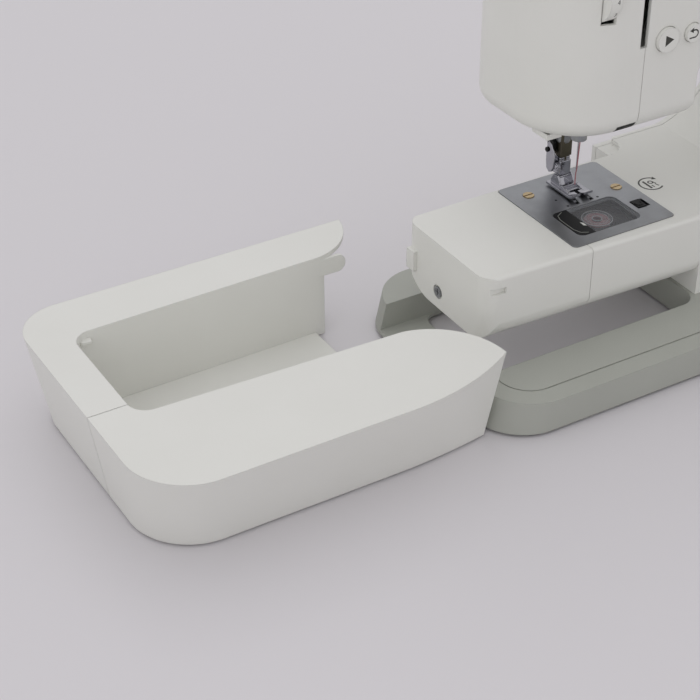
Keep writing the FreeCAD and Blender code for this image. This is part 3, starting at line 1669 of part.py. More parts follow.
# Outline of the table at one level; the share of the draft is none at the top and whole at the bottom
def table_wire(draft, z):
    left = table_left + table_left_draft * draft
    front = table_front + table_front_draft * draft
    rear = table_rear - table_rear_draft * draft
    tip_y = table_front + table_tip_rise + table_tip_side_draft * draft
    tip = Vector(table_front_tip - table_tip_draft * draft, tip_y, z)
    bend_draft = table_bend_draft * draft
    bend = Vector(table_front_bend - bend_draft, table_front_bend_y + 2 * bend_draft, z)
    back_tip = Vector(table_rear_tip - table_tip_draft * draft, rear, z)
    back_bend = Vector(table_rear_bend - bend_draft, table_rear_bend_y - table_rear_bend_draft * draft, z)
    reach = tip.x - table_curve_start
    rise = tip.y - front
    radius = (reach * reach + rise * rise) / (2 * rise)
    half = math.atan2(reach, radius - rise) / 2
    crown = Vector(table_curve_start + radius * math.sin(half), front + radius * (1 - math.cos(half)), z)
    diagonal = 1 - math.sqrt(0.5)
    front_cut = table_front_corner * diagonal
    rear_cut = table_rear_corner * diagonal
    curve_start = Vector(table_curve_start, front, z)
    wall_front = Vector(notch_right, notch_front_right, z)
    wall_rear = Vector(notch_right, notch_rear_right, z)
    left_front = Vector(left, front + table_front_corner, z)
    front_left = Vector(left + table_front_corner, front, z)
    rear_left = Vector(left + table_rear_corner, rear, z)
    left_rear = Vector(left, rear - table_rear_corner, z)
    edges = [Part.LineSegment(left_rear, left_front),
             Part.Arc(left_front, Vector(left + front_cut, front + front_cut, z), front_left),
             Part.LineSegment(front_left, curve_start),
             Part.Arc(curve_start, crown, tip),
             Part.Arc(tip, bend, wall_front),
             Part.LineSegment(wall_front, wall_rear),
             Part.Arc(wall_rear, back_bend, back_tip),
             Part.LineSegment(back_tip, rear_left),
             Part.Arc(rear_left, Vector(left + rear_cut, rear - rear_cut, z), left_rear)]
    return Part.Wire([edge.toShape() for edge in edges])


def inset_wire(draft, z, inset):
    return Part.Face(table_wire(draft, z)).makeOffset2D(-inset).OuterWire


def table_form():
    return Part.makeLoft([table_wire(1, table_lift), table_wire(0, table_height)], True, True)


def table_hollow():
    return Part.makeLoft([inset_wire(1, table_lift, table_wall), inset_wire(0, table_height, table_wall)],
                         True, True)


# Space for the free arm, open to the right
def table_notch(z, inset=0.0):
    front_slope = (notch_front_right - notch_front_left) / (notch_right - notch_left)
    rear_slope = (notch_rear_right - notch_rear_left) / (notch_right - notch_left)
    corners = [(notch_left, notch_front_left, notch_corner),
               (notch_right + notch_past, notch_front_right + notch_past * front_slope, 0),
               (notch_right + notch_past, notch_rear_right + notch_past * rear_slope, 0),
               (notch_left, notch_rear_left, notch_corner)]
    return plan_prism(corners, z, inset)


def table_body():
    ceiling = table_height - table_top
    hollow = table_hollow().common(block((-far, far), (-far, far), (0, ceiling)))
    hollow = hollow.cut(table_notch((0, far), -table_wall))
    return table_form().cut(hollow).cut(table_notch((0, far)))


# Strip of wall along the front of the notch, which stays when the door opens
def inner_wall_zone(gap):
    strip = table_notch((0, table_height - table_top), -table_wall - gap)
    return strip.common(block((-far, notch_right + gap), (-far, door_seam + join_over), (0, far)))


def table_shell(body):
    behind = body.common(block((-far, far), (door_seam, far), (0, far)))
    strip = body.common(inner_wall_zone(0))
    behind = behind.cut(block((rear_wall_end, far), (notch_rear_right - cut_over, far),
                              (0, table_height - table_top)))
    shell = united([behind, strip, table_end(), table_tongue()])
    return shell.cut(tray_plan(0))


# Flat end of the rear wall, short of the top's rounded end
def table_end():
    return table_form().common(block((rear_wall_end - table_wall, rear_wall_end), (notch_rear_right, far),
                                     (0, table_height - table_top + join_over)))


def table_tongue():
    top = table_height - table_top
    left = rear_wall_end - tongue_lap
    right = rear_wall_end + tongue_length
    corners = [(left, top - tongue_height, 0), (right, top - tongue_height, tongue_round),
               (right, top, tongue_round), (left, top, 0)]
    return rounded_prism(corners, upright, Vector(0, notch_rear_right, 0), Vector(0, table_wall, 0))


def accessory_door(body):
    door = body.common(block((-far, far), (-far, door_seam - door_gap), (0, far)))
    door = door.cut(inner_wall_zone(seam_gap))
    lugs = []
    for x in (door_lug_left, door_lug_right):
        half = door_lug_width / 2
        lug = along_x(door_lug_radius, (x - half, x + half), door_axis_y, door_axis_height)
        web = block((x - half, x + half), (table_front, door_axis_y),
                    (door_axis_height - door_lug_radius, door_axis_height + door_lug_radius))
        lugs += [lug, web.common(table_form())]
    door = united([door] + lugs)
    for x in (door_lug_left, door_lug_right):
        span = (x - door_lug_width, x + door_lug_width)
        door = door.cut(along_x(door_pin_radius + door_pin_fit, span, door_axis_y, door_axis_height))
    return door


# Plan of the tray, inside the leaning walls at its own top and bottom
def tray_plan(gap):
    upper_draft = 1 - tray_floor / (table_height - table_lift)
    lower = Part.Face(inset_wire(1, table_lift, table_wall + gap))
    upper = Part.Face(inset_wire(upper_draft, table_lift, table_wall + gap))
    rise = Vector(0, 0, tray_floor)
    return lower.extrude(rise).common(upper.extrude(rise))


# Floor of the table with its moulded feet and the hinge pins of the door
def table_tray():
    tray = tray_plan(tray_gap)
    swept = tray.copy()
    swept.translate(Vector(0, door_axis_height - table_lift, 0))
    tray = tray.common(united([swept, tray.common(block((-far, far), (door_seam, far), (0, far)))]))
    front = door_axis_y + door_sweep
    tray = tray.cut(block((-far, far), (-far, front), (-far, far)))
    tray = tray.cut(block((rear_wall_end - table_wall - tray_gap, far),
                          (notch_front_right - 2 * table_wall, far), (-far, far)))
    solids = [tray]
    for x in (table_foot_left, table_foot_right):
        for y in (table_foot_front, table_foot_rear):
            solids.append(along_z(table_foot_radius, x, y, (0, table_lift + join_over)))
    for x in (door_lug_left, door_lug_right):
        left = x + door_lug_width / 2 + seam_gap
        span = (left, left + door_boss_width)
        high = door_axis_height + door_boss_radius
        solids.append(block(span, (front, front + bracket_foot), (table_lift, high)))
        solids.append(block(span, (door_axis_y, front + bracket_foot),
                            (door_axis_height - door_boss_radius, high)))
        solids.append(along_x(door_boss_radius, span, door_axis_y, door_axis_height))
        pin = (x - door_lug_width / 2, left + door_boss_width)
        solids.append(along_x(door_pin_radius, pin, door_axis_y, door_axis_height))
    return united(solids)


def upper_pulleys():
    return grouped([pulley(timing_radius, shaft_radius, timing_left, timing_width, needle_y, shaft_height),
                    pulley(drive_big_radius, shaft_radius, drive_left, drive_width, needle_y, shaft_height)])


def lower_pulley():
    return pulley(timing_radius, lower_shaft_radius, timing_left, timing_width, lower_shaft_y,
                  lower_shaft_height)


def all_nodes():
    table = table_body()
    nodes = shells()
    nodes.update({
        "base_frame": base_frame(), "base_feet": base_feet(), "arm_end_screw": end_screw(),
        "inner_frame": inner_frame(), "bushes": bushes(), "case_screws": case_screws(),
        "needle_plate": needle_plate(), "plate_screws": plate_screws(), "cover_latch": cover_latch(),
        "cover_window": cover_window(), "release_button": release_button(), "bobbin": bobbin(),
        "bobbin_thread": bobbin_thread(), "bobbin_case": bobbin_case(), "rotary_hook": rotary_hook(),
        "hook_gear": hook_gear(), "lower_gear": lower_gear(), "lower_shaft": lower_shaft(),
        "lower_pulley": lower_pulley(), "timing_belt": timing_belt(), "upper_pulleys": upper_pulleys(),
        "upper_shaft": upper_shaft(), "crank": crank(), "connecting_rod": connecting_rod(),
        "handwheel": handwheel(), "motor": motor(), "motor_pulley": motor_pulley(),
        "drive_belt": drive_belt(),
        "needle_bar": needle_bar(), "needle_clamp": needle_clamp(), "clamp_screw": clamp_screw(),
        "needle": needle(), "feed_dog": feed_dog(), "presser_bar": presser_bar(),
        "foot_holder": foot_holder(),
        "holder_screw": holder_screw(), "presser_foot": presser_foot(), "presser_lever": presser_lever(),
        "take_up_lever": take_up_lever(), "tension_dial": tension_dial(), "threader_lever": threader_lever(),
        "lamp_lens": lamp_lens(), "speed_slider": speed_slider(), "display_panel": display_panel(),
        "selector_dial": selector_dial(), "spool_pin": spool_pin(), "spool_cap": spool_cap(),
        "winder_spindle": winder_spindle(), "power_switch": power_switch(), "power_inlet": power_inlet(),
        "table_shell": table_shell(table), "accessory_door": accessory_door(table),
        "table_tray": table_tray()})
    for name in button_places:
        nodes[name] = push_button(name)
    return nodes


os.makedirs("parts", exist_ok=True)
for node_name, shape in all_nodes().items():
    shape.translate(Vector(plate_x, plate_y, 0))
    shape.exportStep("parts/" + node_name + ".step")
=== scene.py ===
import json
import math
import bpy
import bmesh
from mathutils import Matrix, Vector


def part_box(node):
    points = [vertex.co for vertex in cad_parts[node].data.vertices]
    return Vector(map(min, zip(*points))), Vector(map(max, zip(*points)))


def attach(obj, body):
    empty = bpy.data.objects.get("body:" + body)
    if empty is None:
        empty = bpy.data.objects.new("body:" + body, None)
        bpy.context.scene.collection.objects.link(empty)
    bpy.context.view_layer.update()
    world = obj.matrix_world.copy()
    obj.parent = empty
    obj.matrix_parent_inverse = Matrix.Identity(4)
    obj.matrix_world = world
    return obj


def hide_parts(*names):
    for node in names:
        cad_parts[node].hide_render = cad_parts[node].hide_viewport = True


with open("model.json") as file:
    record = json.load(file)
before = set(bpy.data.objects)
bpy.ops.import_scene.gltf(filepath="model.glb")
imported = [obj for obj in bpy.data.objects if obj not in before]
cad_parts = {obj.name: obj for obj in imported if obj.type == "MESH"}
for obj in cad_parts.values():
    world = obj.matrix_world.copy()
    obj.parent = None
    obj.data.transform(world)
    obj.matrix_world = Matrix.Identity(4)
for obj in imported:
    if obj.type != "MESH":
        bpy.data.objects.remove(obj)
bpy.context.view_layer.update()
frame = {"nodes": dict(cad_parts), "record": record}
nodes = frame["nodes"]
slotOf = {part["node"]: part["material_slot"] for part in frame["record"]["subparts"]}
mm = 0.001
plateLow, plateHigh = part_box("needle_plate")
plateCentre = Vector(((plateLow[0] + plateHigh[0]) / 2, (plateLow[1] + plateHigh[1]) / 2, 0))
print("frame loaded:", len(nodes), "pieces")


def at(x, y, z):  # millimetres right of and behind the needle plate's centre, and above the floor
    return plateCentre + Vector((x, y, z)) * mm


def hexColor(text):  # sRGB hex to linear
    parts = [int(text[i:i + 2], 16) / 255 for i in (0, 2, 4)]
    return [c / 12.92 if c <= 0.04045 else ((c + 0.055) / 1.055) ** 2.4 for c in parts] + [1]


def addNode(tree, kind, inputs=None, **settings):
    node = tree.nodes.new(kind)
    for name, value in settings.items():
        setattr(node, name, value)
    for name, value in (inputs or {}).items():
        if isinstance(value, bpy.types.NodeSocket):
            tree.links.new(value, node.inputs[name])
        else:
            node.inputs[name].default_value = value
    return node


def newFinish(name):
    finish = bpy.data.materials.new(name)
    finish.use_nodes = True
    finish.node_tree.nodes.clear()
    return finish, finish.node_tree


def closeFinish(finish, shader):
    tree = finish.node_tree
    addNode(tree, "ShaderNodeOutputMaterial", {"Surface": shader.outputs["BSDF"]})
    finish.diffuse_color = shader.inputs["Base Color"].default_value
    return finish


def mouldedPlastic(name, look):
    # moulded plastic: an even body colour with a faint cloud in it, an eroded mould grain that
    # spreads the highlight, and edges softened by the mould's own small radius
    finish, tree = newFinish(name)
    place = addNode(tree, "ShaderNodeTexCoord").outputs["Object"]
    cloud = addNode(tree, "ShaderNodeTexNoise", {"Vector": place, "Scale": 1 / (look["cloud"] * mm),
                                                 "Detail": 3.0})
    tone = addNode(tree, "ShaderNodeMix", {"Factor": cloud.outputs["Fac"], 6: hexColor(look["dark"]),
                                           7: hexColor(look["light"])}, data_type="RGBA")
    # the real grain is about 0.1 mm, drawn coarser so that it shows
    grain = addNode(tree, "ShaderNodeTexNoise", {"Vector": place, "Scale": 1 / (look["grain"] * mm),
                                                 "Detail": 2.0, "Roughness": 0.6})
    gloss = addNode(tree, "ShaderNodeMapRange", {"Value": cloud.outputs["Fac"], "From Min": 0.3,
                                                 "From Max": 0.7, "To Min": look["roughness"] - 0.05,
                                                 "To Max": look["roughness"] + 0.05})
    edge = addNode(tree, "ShaderNodeBevel", {"Radius": look["edge"] * mm}, samples=4)
    bump = addNode(tree, "ShaderNodeBump", {"Height": grain.outputs["Fac"], "Strength": look["bump"],
                                            "Distance": look["grain"] * mm,
                                            "Normal": edge.outputs["Normal"]})
    shader = addNode(tree, "ShaderNodeBsdfPrincipled", {
        "Base Color": tone.outputs[2], "Roughness": gloss.outputs["Result"], "IOR": 1.53,
        "Specular IOR Level": look.get("specular", 0.5), "Normal": bump.outputs["Normal"]})
    return closeFinish(finish, shader)


def workedMetal(name, look):
    # worked metal: fine marks that follow the tool, long one way and narrow the other, so the
    # reflection is drawn out across them, and a little unevenness in the gloss
    finish, tree = newFinish(name)
    place = addNode(tree, "ShaderNodeTexCoord").outputs["Object"]
    along = addNode(tree, "ShaderNodeMapping", {"Vector": place, "Scale": [
        1 / (size * mm) for size in look["marks"]]})
    marks = addNode(tree, "ShaderNodeTexNoise", {"Vector": along.outputs["Vector"], "Scale": 1.0,
                                                 "Detail": 3.0, "Roughness": 0.65})
    cloud = addNode(tree, "ShaderNodeTexNoise", {"Vector": place, "Scale": 1 / (look["cloud"] * mm),
                                                 "Detail": 2.0})
    tone = addNode(tree, "ShaderNodeMix", {"Factor": marks.outputs["Fac"], 6: hexColor(look["dark"]),
                                           7: hexColor(look["light"])}, data_type="RGBA")
    gloss = addNode(tree, "ShaderNodeMapRange", {"Value": cloud.outputs["Fac"], "From Min": 0.3,
                                                 "From Max": 0.7, "To Min": look["roughness"] * 0.8,
                                                 "To Max": look["roughness"] * 1.2})
    edge = addNode(tree, "ShaderNodeBevel", {"Radius": look["edge"] * mm}, samples=4)
    bump = addNode(tree, "ShaderNodeBump", {"Height": marks.outputs["Fac"], "Strength": look["bump"],
                                            "Distance": look["depth"] * mm, "Normal": edge.outputs["Normal"]})
    shader = addNode(tree, "ShaderNodeBsdfPrincipled", {
        "Base Color": tone.outputs[2], "Metallic": 1.0, "Roughness": gloss.outputs["Result"],
        "Normal": bump.outputs["Normal"]})
    return closeFinish(finish, shader)


def clearPlastic(name, look):
    # moulded clear styrene: what lies under it shows through with a slight grey veil, and a
    # smooth skin gives sharp reflections
    finish, tree = newFinish(name)
    place = addNode(tree, "ShaderNodeTexCoord").outputs["Object"]
    flow = addNode(tree, "ShaderNodeTexNoise", {"Vector": place, "Scale": 1 / (look["cloud"] * mm),
                                                "Detail": 2.0})
    veil = addNode(tree, "ShaderNodeMapRange", {"Value": flow.outputs["Fac"], "To Min": look["veil"] - 0.04,
                                                "To Max": look["veil"] + 0.04})
    edge = addNode(tree, "ShaderNodeBevel", {"Radius": look["edge"] * mm}, samples=4)
    shader = addNode(tree, "ShaderNodeBsdfPrincipled", {
        "Base Color": hexColor(look["color"]), "Roughness": look["roughness"], "IOR": 1.59,
        "Alpha": veil.outputs["Result"], "Normal": edge.outputs["Normal"]})
    return closeFinish(finish, shader)


def twistedThread(name, look):
    # twisted polyester thread: slanted bands from the ply, with painted shade making the grooves between the
    # plies darker, and a soft sheen
    finish, tree = newFinish(name)
    place = addNode(tree, "ShaderNodeTexCoord").outputs["Object"]
    twist = addNode(tree, "ShaderNodeTexWave", {"Vector": place, "Scale": 0.3 / (look["ply"] * mm),
                                                "Distortion": 1.5}, bands_direction="DIAGONAL")
    tone = addNode(tree, "ShaderNodeMix", {"Factor": twist.outputs["Fac"], 6: hexColor(look["dark"]),
                                           7: hexColor(look["light"])}, data_type="RGBA")
    bump = addNode(tree, "ShaderNodeBump", {"Height": twist.outputs["Fac"], "Strength": 0.5,
                                            "Distance": look["depth"] * mm})
    shader = addNode(tree, "ShaderNodeBsdfPrincipled", {
        "Base Color": tone.outputs[2], "Roughness": 0.55, "Sheen Weight": 0.4,
        "Normal": bump.outputs["Normal"]})
    return closeFinish(finish, shader)


# plastics, sizes in millimetres: the casing is satin, the bobbin's acetal darker and softer, rubber
# dull, acrylic and liquid crystal smooth and sharp in reflection, and ink thin and matt
white = {"dark": "e2e2dc", "light": "e9e9e4", "cloud": 60, "grain": 0.7, "bump": 0.1,
         "roughness": 0.42, "edge": 0.7}
grey = {"dark": "a9aba3", "light": "b1b3ab", "cloud": 50, "grain": 0.7, "bump": 0.12,
        "roughness": 0.5, "edge": 0.7}
black = {"dark": "111213", "light": "181919", "cloud": 20, "grain": 0.5, "bump": 0.12,
         "roughness": 0.42, "edge": 0.4, "specular": 0.15}
innerBlack = {"dark": "2b2a2b", "light": "353335", "cloud": 9, "grain": 0.5, "bump": 0.15,
              "roughness": 0.5, "edge": 0.3, "specular": 0.3}
rubberLook = {"dark": "232322", "light": "2b2b29", "cloud": 8, "grain": 0.6, "bump": 0.25,
              "roughness": 0.75, "edge": 0.4}
screen = {"dark": "20262a", "light": "252b30", "cloud": 30, "grain": 0.6, "bump": 0.01,
          "roughness": 0.12, "edge": 0.4}
inkLook = {"dark": "34342f", "light": "3d3d38", "cloud": 4, "grain": 0.3, "bump": 0.1,
           "roughness": 0.6, "edge": 0.05}
liquidCrystal = {"dark": "9fa896", "light": "a8b19f", "cloud": 6, "grain": 0.4, "bump": 0.02,
                 "roughness": 0.2, "edge": 0.1}
# metals: grinding draws long lines over the plate, chrome is close to a mirror, black oxide is dark
# and warm, brass shows fine turning, and the casting is rough and even
groundSteel = {"dark": "949699", "light": "a5a7aa", "marks": (6.0, 0.35, 0.6), "roughness": 0.36,
               "bump": 0.12, "edge": 0.5, "cloud": 9, "depth": 0.05}
# chrome: colour held darker than bare chrome, painted shade standing in for the dark surroundings it would
# reflect
chrome = {"dark": "a2a2a8", "light": "b4b4b9", "marks": (3.0, 3.0, 3.0), "roughness": 0.12,
          "bump": 0.03, "edge": 0.4, "cloud": 9, "depth": 0.05}
oxide = {"dark": "5a564a", "light": "686455", "marks": (2.0, 2.0, 0.3), "roughness": 0.35,
         "bump": 0.1, "edge": 0.3, "cloud": 9, "depth": 0.05}
brassLook = {"dark": "b09a76", "light": "cbb894", "marks": (1.5, 1.5, 0.3), "roughness": 0.22,
             "bump": 0.08, "edge": 0.3, "cloud": 9, "depth": 0.05}
castLook = {"dark": "96989a", "light": "a4a6a8", "marks": (0.9, 0.9, 0.9), "roughness": 0.55,
            "bump": 0.5, "edge": 0.6, "cloud": 9, "depth": 0.05}
# clear styrene, nearly free of veil in the window, paler at the bobbin's turned edges as a painted highlight,
# and thread
clear = {"color": "b9bbbf", "veil": 0.12, "roughness": 0.06, "cloud": 7, "edge": 0.3}
clearRimHighlight = {"color": "dcdde0", "veil": 0.55, "roughness": 0.1, "cloud": 7, "edge": 0.3}
polyester = {"dark": "93545c", "light": "bd7f86", "ply": 0.4, "depth": 0.05}

finishes = {
    "white_plastic": mouldedPlastic("moulded_white_abs", white),
    "grey_plastic": mouldedPlastic("moulded_grey_abs", grey),
    "black_plastic": mouldedPlastic("moulded_black_abs", black),
    "rubber": mouldedPlastic("moulded_black_rubber", rubberLook),
    "screen_plastic": mouldedPlastic("polished_dark_acrylic", screen),
    "ink": mouldedPlastic("pad_printed_ink", inkLook),
    "inner_plastic": mouldedPlastic("moulded_dark_acetal", innerBlack),
    "display_glass": mouldedPlastic("laminated_liquid_crystal", liquidCrystal),
    "steel": workedMetal("ground_satin_steel", groundSteel),
    "chromed_steel": workedMetal("polished_chromed_steel", chrome),
    "dark_steel": workedMetal("oiled_black_oxide_steel", oxide),
    "brass": workedMetal("turned_brass", brassLook),
    "cast_aluminium": workedMetal("die_cast_aluminium", castLook),
    "clear_plastic": clearPlastic("moulded_clear_styrene", clear),
    "clear_highlight_rim": clearPlastic("painted_highlight_styrene", clearRimHighlight),
    "thread": twistedThread("twisted_polyester_thread", polyester),
}
for name, node in nodes.items():
    node.data.materials.clear()
    node.data.materials.append(finishes["inner_plastic" if name == "bobbin_case" else slotOf[name]])
print("finishes:", len(finishes))


def addPiece(name, mesh, finish, body):
    piece = bpy.data.objects.new(name, mesh)
    bpy.context.scene.collection.objects.link(piece)
    mesh.materials.clear()
    mesh.materials.append(finishes[finish])
    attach(piece, body)
    return piece


# the floor: a pale sealed board, a little glossy, that takes the machine's shadow
floorLook = {"color": "dcd9dc", "size": 8.0, "roughness": 0.35, "cloudScale": 3.0}
floorMesh = bpy.data.meshes.new("floor")
half = floorLook["size"] / 2
floorMesh.from_pydata([(-half, -half, 0), (half, -half, 0), (half, half, 0), (-half, half, 0)], [],
                      [(0, 1, 2, 3)])
floorFinish, floorTree = newFinish("sealed_pale_board")
floorCloud = addNode(floorTree, "ShaderNodeTexNoise", {
    "Vector": addNode(floorTree, "ShaderNodeTexCoord").outputs["Object"], "Scale": floorLook["cloudScale"]})
floorGloss = addNode(floorTree, "ShaderNodeMapRange", {"Value": floorCloud.outputs["Fac"],
                                                       "To Min": floorLook["roughness"] - 0.05,
                                                       "To Max": floorLook["roughness"] + 0.05})
closeFinish(floorFinish, addNode(floorTree, "ShaderNodeBsdfPrincipled", {
    "Base Color": hexColor(floorLook["color"]), "Roughness": floorGloss.outputs["Result"]}))
floorMesh.materials.append(floorFinish)
floor = bpy.data.objects.new("floor", floorMesh)
bpy.context.scene.collection.objects.link(floor)

# soft studio light: one wide lamp overhead and behind, one weak fill from the front left
lampLooks = {
    "overhead": {"place": (0.25, 0.55, 1.9), "aim": (0, 0, 0.1), "size": 2.4, "watts": 3.6},
    "fill": {"place": (-1.6, -1.1, 0.9), "aim": (0, 0, 0.1), "size": 1.6, "watts": 2.7},
}
for name, look in lampLooks.items():
    lamp = bpy.data.lights.new(name, "AREA")
    lamp.energy, lamp.size, lamp.shape = look["watts"], look["size"], "DISK"
    stand = bpy.data.objects.new(name, lamp)
    stand.location = look["place"]
    stand.rotation_euler = (Vector(look["aim"]) - Vector(look["place"])).to_track_quat("-Z", "Y").to_euler()
    bpy.context.scene.collection.objects.link(stand)
worldLook = {"color": "e2e1e3", "strength": 0.94}
world = bpy.data.worlds.new("studio")
world.use_nodes = True
world.node_tree.nodes["Background"].inputs["Color"].default_value = hexColor(worldLook["color"])
world.node_tree.nodes["Background"].inputs["Strength"].default_value = worldLook["strength"]
bpy.context.scene.world = world
bpy.context.scene.view_settings.view_transform = "Standard"

cameraLook = {"place": (-0.61315, -0.7775, 0.6509), "forward": (0.4247, 0.7097, -0.5621), "lens": 91.2,
              "sensor": 36}
lensData = bpy.data.cameras.new("camera")
lensData.lens, lensData.sensor_width = cameraLook["lens"], cameraLook["sensor"]
camera = bpy.data.objects.new("camera", lensData)
camera.location = cameraLook["place"]
camera.rotation_euler = Vector(cameraLook["forward"]).to_track_quat("-Z", "Y").to_euler()
bpy.context.scene.collection.objects.link(camera)
bpy.context.scene.camera = camera
print("stage: floor, lamps and camera")


def flatMesh(name, loops, place):  # flat printed shapes: each loop is a filled outline in millimetres
    shape = bmesh.new()
    for loop in loops:
        shape.faces.new([shape.verts.new(place @ Vector((x * mm, y * mm, 0))) for x, y in loop])
    mesh = bpy.data.meshes.new(name)
    bmesh.ops.triangulate(shape, faces=shape.faces)
    shape.to_mesh(mesh)
    shape.free()
    return mesh


def arcBand(radius, width, start, end, steps=48):  # quads along a curved band, angles in degrees
    turns = [math.radians(start + (end - start) * i / steps) for i in range(steps + 1)]
    outer = [((radius + width / 2) * math.cos(t), (radius + width / 2) * math.sin(t)) for t in turns]
    inner = [((radius - width / 2) * math.cos(t), (radius - width / 2) * math.sin(t)) for t in turns]
    return [[inner[i], outer[i], outer[i + 1], inner[i + 1]] for i in range(steps)]


def shifted(loops, place):
    return [[(x + place[0], y + place[1]) for x, y in loop] for loop in loops]


def turned(radius, degrees):
    return radius * math.cos(math.radians(degrees)), radius * math.sin(math.radians(degrees))


def lying(u, v, w):  # outline in plan, drawn out upwards
    return at(u, v, w)


def facingLeft(u, v, w):  # outline in depth and height, drawn out to the right
    return at(w, u, v)


def facingFront(u, v, w):  # outline in width and height, drawn out backwards
    return at(u, w, v)


def slab(shape, outline, low, high, place):  # an outline drawn out from low to high
    bottom = [shape.verts.new(place(u, v, low)) for u, v in outline]
    top = [shape.verts.new(place(u, v, high)) for u, v in outline]
    shape.faces.new(bottom[::-1])
    shape.faces.new(top)
    for i in range(len(outline)):
        j = (i + 1) % len(outline)
        shape.faces.new([bottom[i], bottom[j], top[j], top[i]])


def circle(u, v, radius, count=24):
    turns = [2 * math.pi * i / count for i in range(count)]
    return [(u + radius * math.cos(t), v + radius * math.sin(t)) for t in turns]


def roundedBox(u, v, halfU, halfV, radius, steps=5):
    corners = [(u + halfU - radius, v + halfV - radius, 0), (u - halfU + radius, v + halfV - radius, 90),
               (u - halfU + radius, v - halfV + radius, 180), (u + halfU - radius, v - halfV + radius, 270)]
    return [(cu + radius * math.cos(math.radians(a + 90 * i / steps)),
             cv + radius * math.sin(math.radians(a + 90 * i / steps)))
            for cu, cv, a in corners for i in range(steps + 1)]


def finishMesh(shape, name):  # turns all faces outwards and hands over the mesh
    bmesh.ops.recalc_face_normals(shape, faces=shape.faces)
    mesh = bpy.data.meshes.new(name)
    shape.to_mesh(mesh)
    shape.free()
    return mesh


sharpAngle = math.radians(35)  # edges that turn by more than this are rounded, others shaded smooth


def softEdges(piece, width, segments=3):
    bevel = piece.modifiers.new("soft edges", "BEVEL")
    bevel.width, bevel.segments, bevel.limit_method = width * mm, segments, "ANGLE"
    bevel.angle_limit = sharpAngle
    piece.data.shade_smooth()
    piece.data.set_sharp_from_angle(angle=sharpAngle)


def addSolid(name, shape, finish, body, edge=0):  # a modelled piece, its edges rounded by edge
    piece = addPiece(name, finishMesh(shape, name), finish, body)
    if edge:
        softEdges(piece, edge)
    return piece


def addPrint(name, loops, place, finish, body):  # flat printed shapes as a piece
    return addPiece(name, flatMesh(name, loops, place), finish, body)


def plainMesh(maker):  # the mesh of an object made only to grow it; the object is removed
    bpy.context.scene.collection.objects.link(maker)
    mesh = bpy.data.meshes.new_from_object(maker.evaluated_get(bpy.context.evaluated_depsgraph_get()))
    bpy.data.objects.remove(maker)
    return mesh


def stroke(points, width):  # a printed line through points, as one quad for each stretch
    loops = []
    for (ax, ay), (bx, by) in zip(points, points[1:]):
        run = math.hypot(bx - ax, by - ay)
        ex, ey = (bx - ax) / run * width / 2, (by - ay) / run * width / 2
        loops.append([(ax - ex - ey, ay - ey + ex), (ax - ex + ey, ay - ey - ex),
                      (bx + ex + ey, by + ey - ex), (bx + ex - ey, by + ey + ex)])
    return loops


# the icon printed on the bed: a bobbin and the way its thread runs
bedIcon = {"place": (53.0, -1.3), "radius": 7.9, "line": 1.1, "start": 47, "end": 309, "head": 1.9,
           "tip": 24, "flange": [(-2.9, 4.2), (-2.9, -4.4)], "flangeLine": 1.5, "core": (1.0, 1.7),
           "coreRadius": 1.6, "fineLine": 0.9, "height": 83.53,
           "strokes": [[(-0.6, -2.4), (-0.3, -4.2)], [(2.6, -1.8), (3.2, -4.2)], [(2.7, 0.8), (3.3, -0.8)]]}
iconLoops = arcBand(bedIcon["radius"], bedIcon["line"], bedIcon["start"], bedIcon["end"])
iconLoops.append([turned(bedIcon["radius"] + bedIcon["head"], bedIcon["start"]),
                  turned(bedIcon["radius"] - bedIcon["head"], bedIcon["start"]),
                  turned(bedIcon["radius"], bedIcon["tip"])])
iconLoops += stroke(bedIcon["flange"], bedIcon["flangeLine"])
iconLoops += shifted(arcBand(bedIcon["coreRadius"], bedIcon["fineLine"], 0, 360, 24), bedIcon["core"])
for points in bedIcon["strokes"]:
    iconLoops += stroke(points, bedIcon["fineLine"])
bedTop = Matrix.Translation(at(*bedIcon["place"], bedIcon["height"]))
addPrint("bed_icon", iconLoops, bedTop, "ink", "machine")
print("bed icon")


def newTree(name, sizes):  # a Geometry Nodes tree with one named input for each size
    tree = bpy.data.node_groups.new(name, "GeometryNodeTree")
    tree.interface.new_socket("Geometry", in_out="OUTPUT", socket_type="NodeSocketGeometry")
    for label, value in sizes.items():
        kind = "NodeSocketInt" if isinstance(value, int) else "NodeSocketFloat"
        tree.interface.new_socket(label, in_out="INPUT", socket_type=kind)
    return tree, addNode(tree, "NodeGroupInput").outputs


def closeTree(tree, geometry, finish):
    real = addNode(tree, "GeometryNodeRealizeInstances", {"Geometry": geometry})
    painted = addNode(tree, "GeometryNodeSetMaterial", {"Geometry": real.outputs["Geometry"],
                                                        "Material": finishes[finish]})
    addNode(tree, "NodeGroupOutput", {"Geometry": painted.outputs["Geometry"]})


def growPiece(name, tree, sizes, place, finish, body):  # runs the tree once and keeps its plain mesh
    maker = bpy.data.objects.new(name + "_maker", bpy.data.meshes.new(name + "_maker"))
    grower = maker.modifiers.new("grower", "NODES")
    grower.node_group = tree
    for socket in tree.interface.items_tree:
        if socket.in_out == "INPUT":
            grower[socket.identifier] = sizes[socket.name]
    mesh = plainMesh(maker)
    mesh.name = name
    mesh.transform(place)
    return addPiece(name, mesh, finish, body)


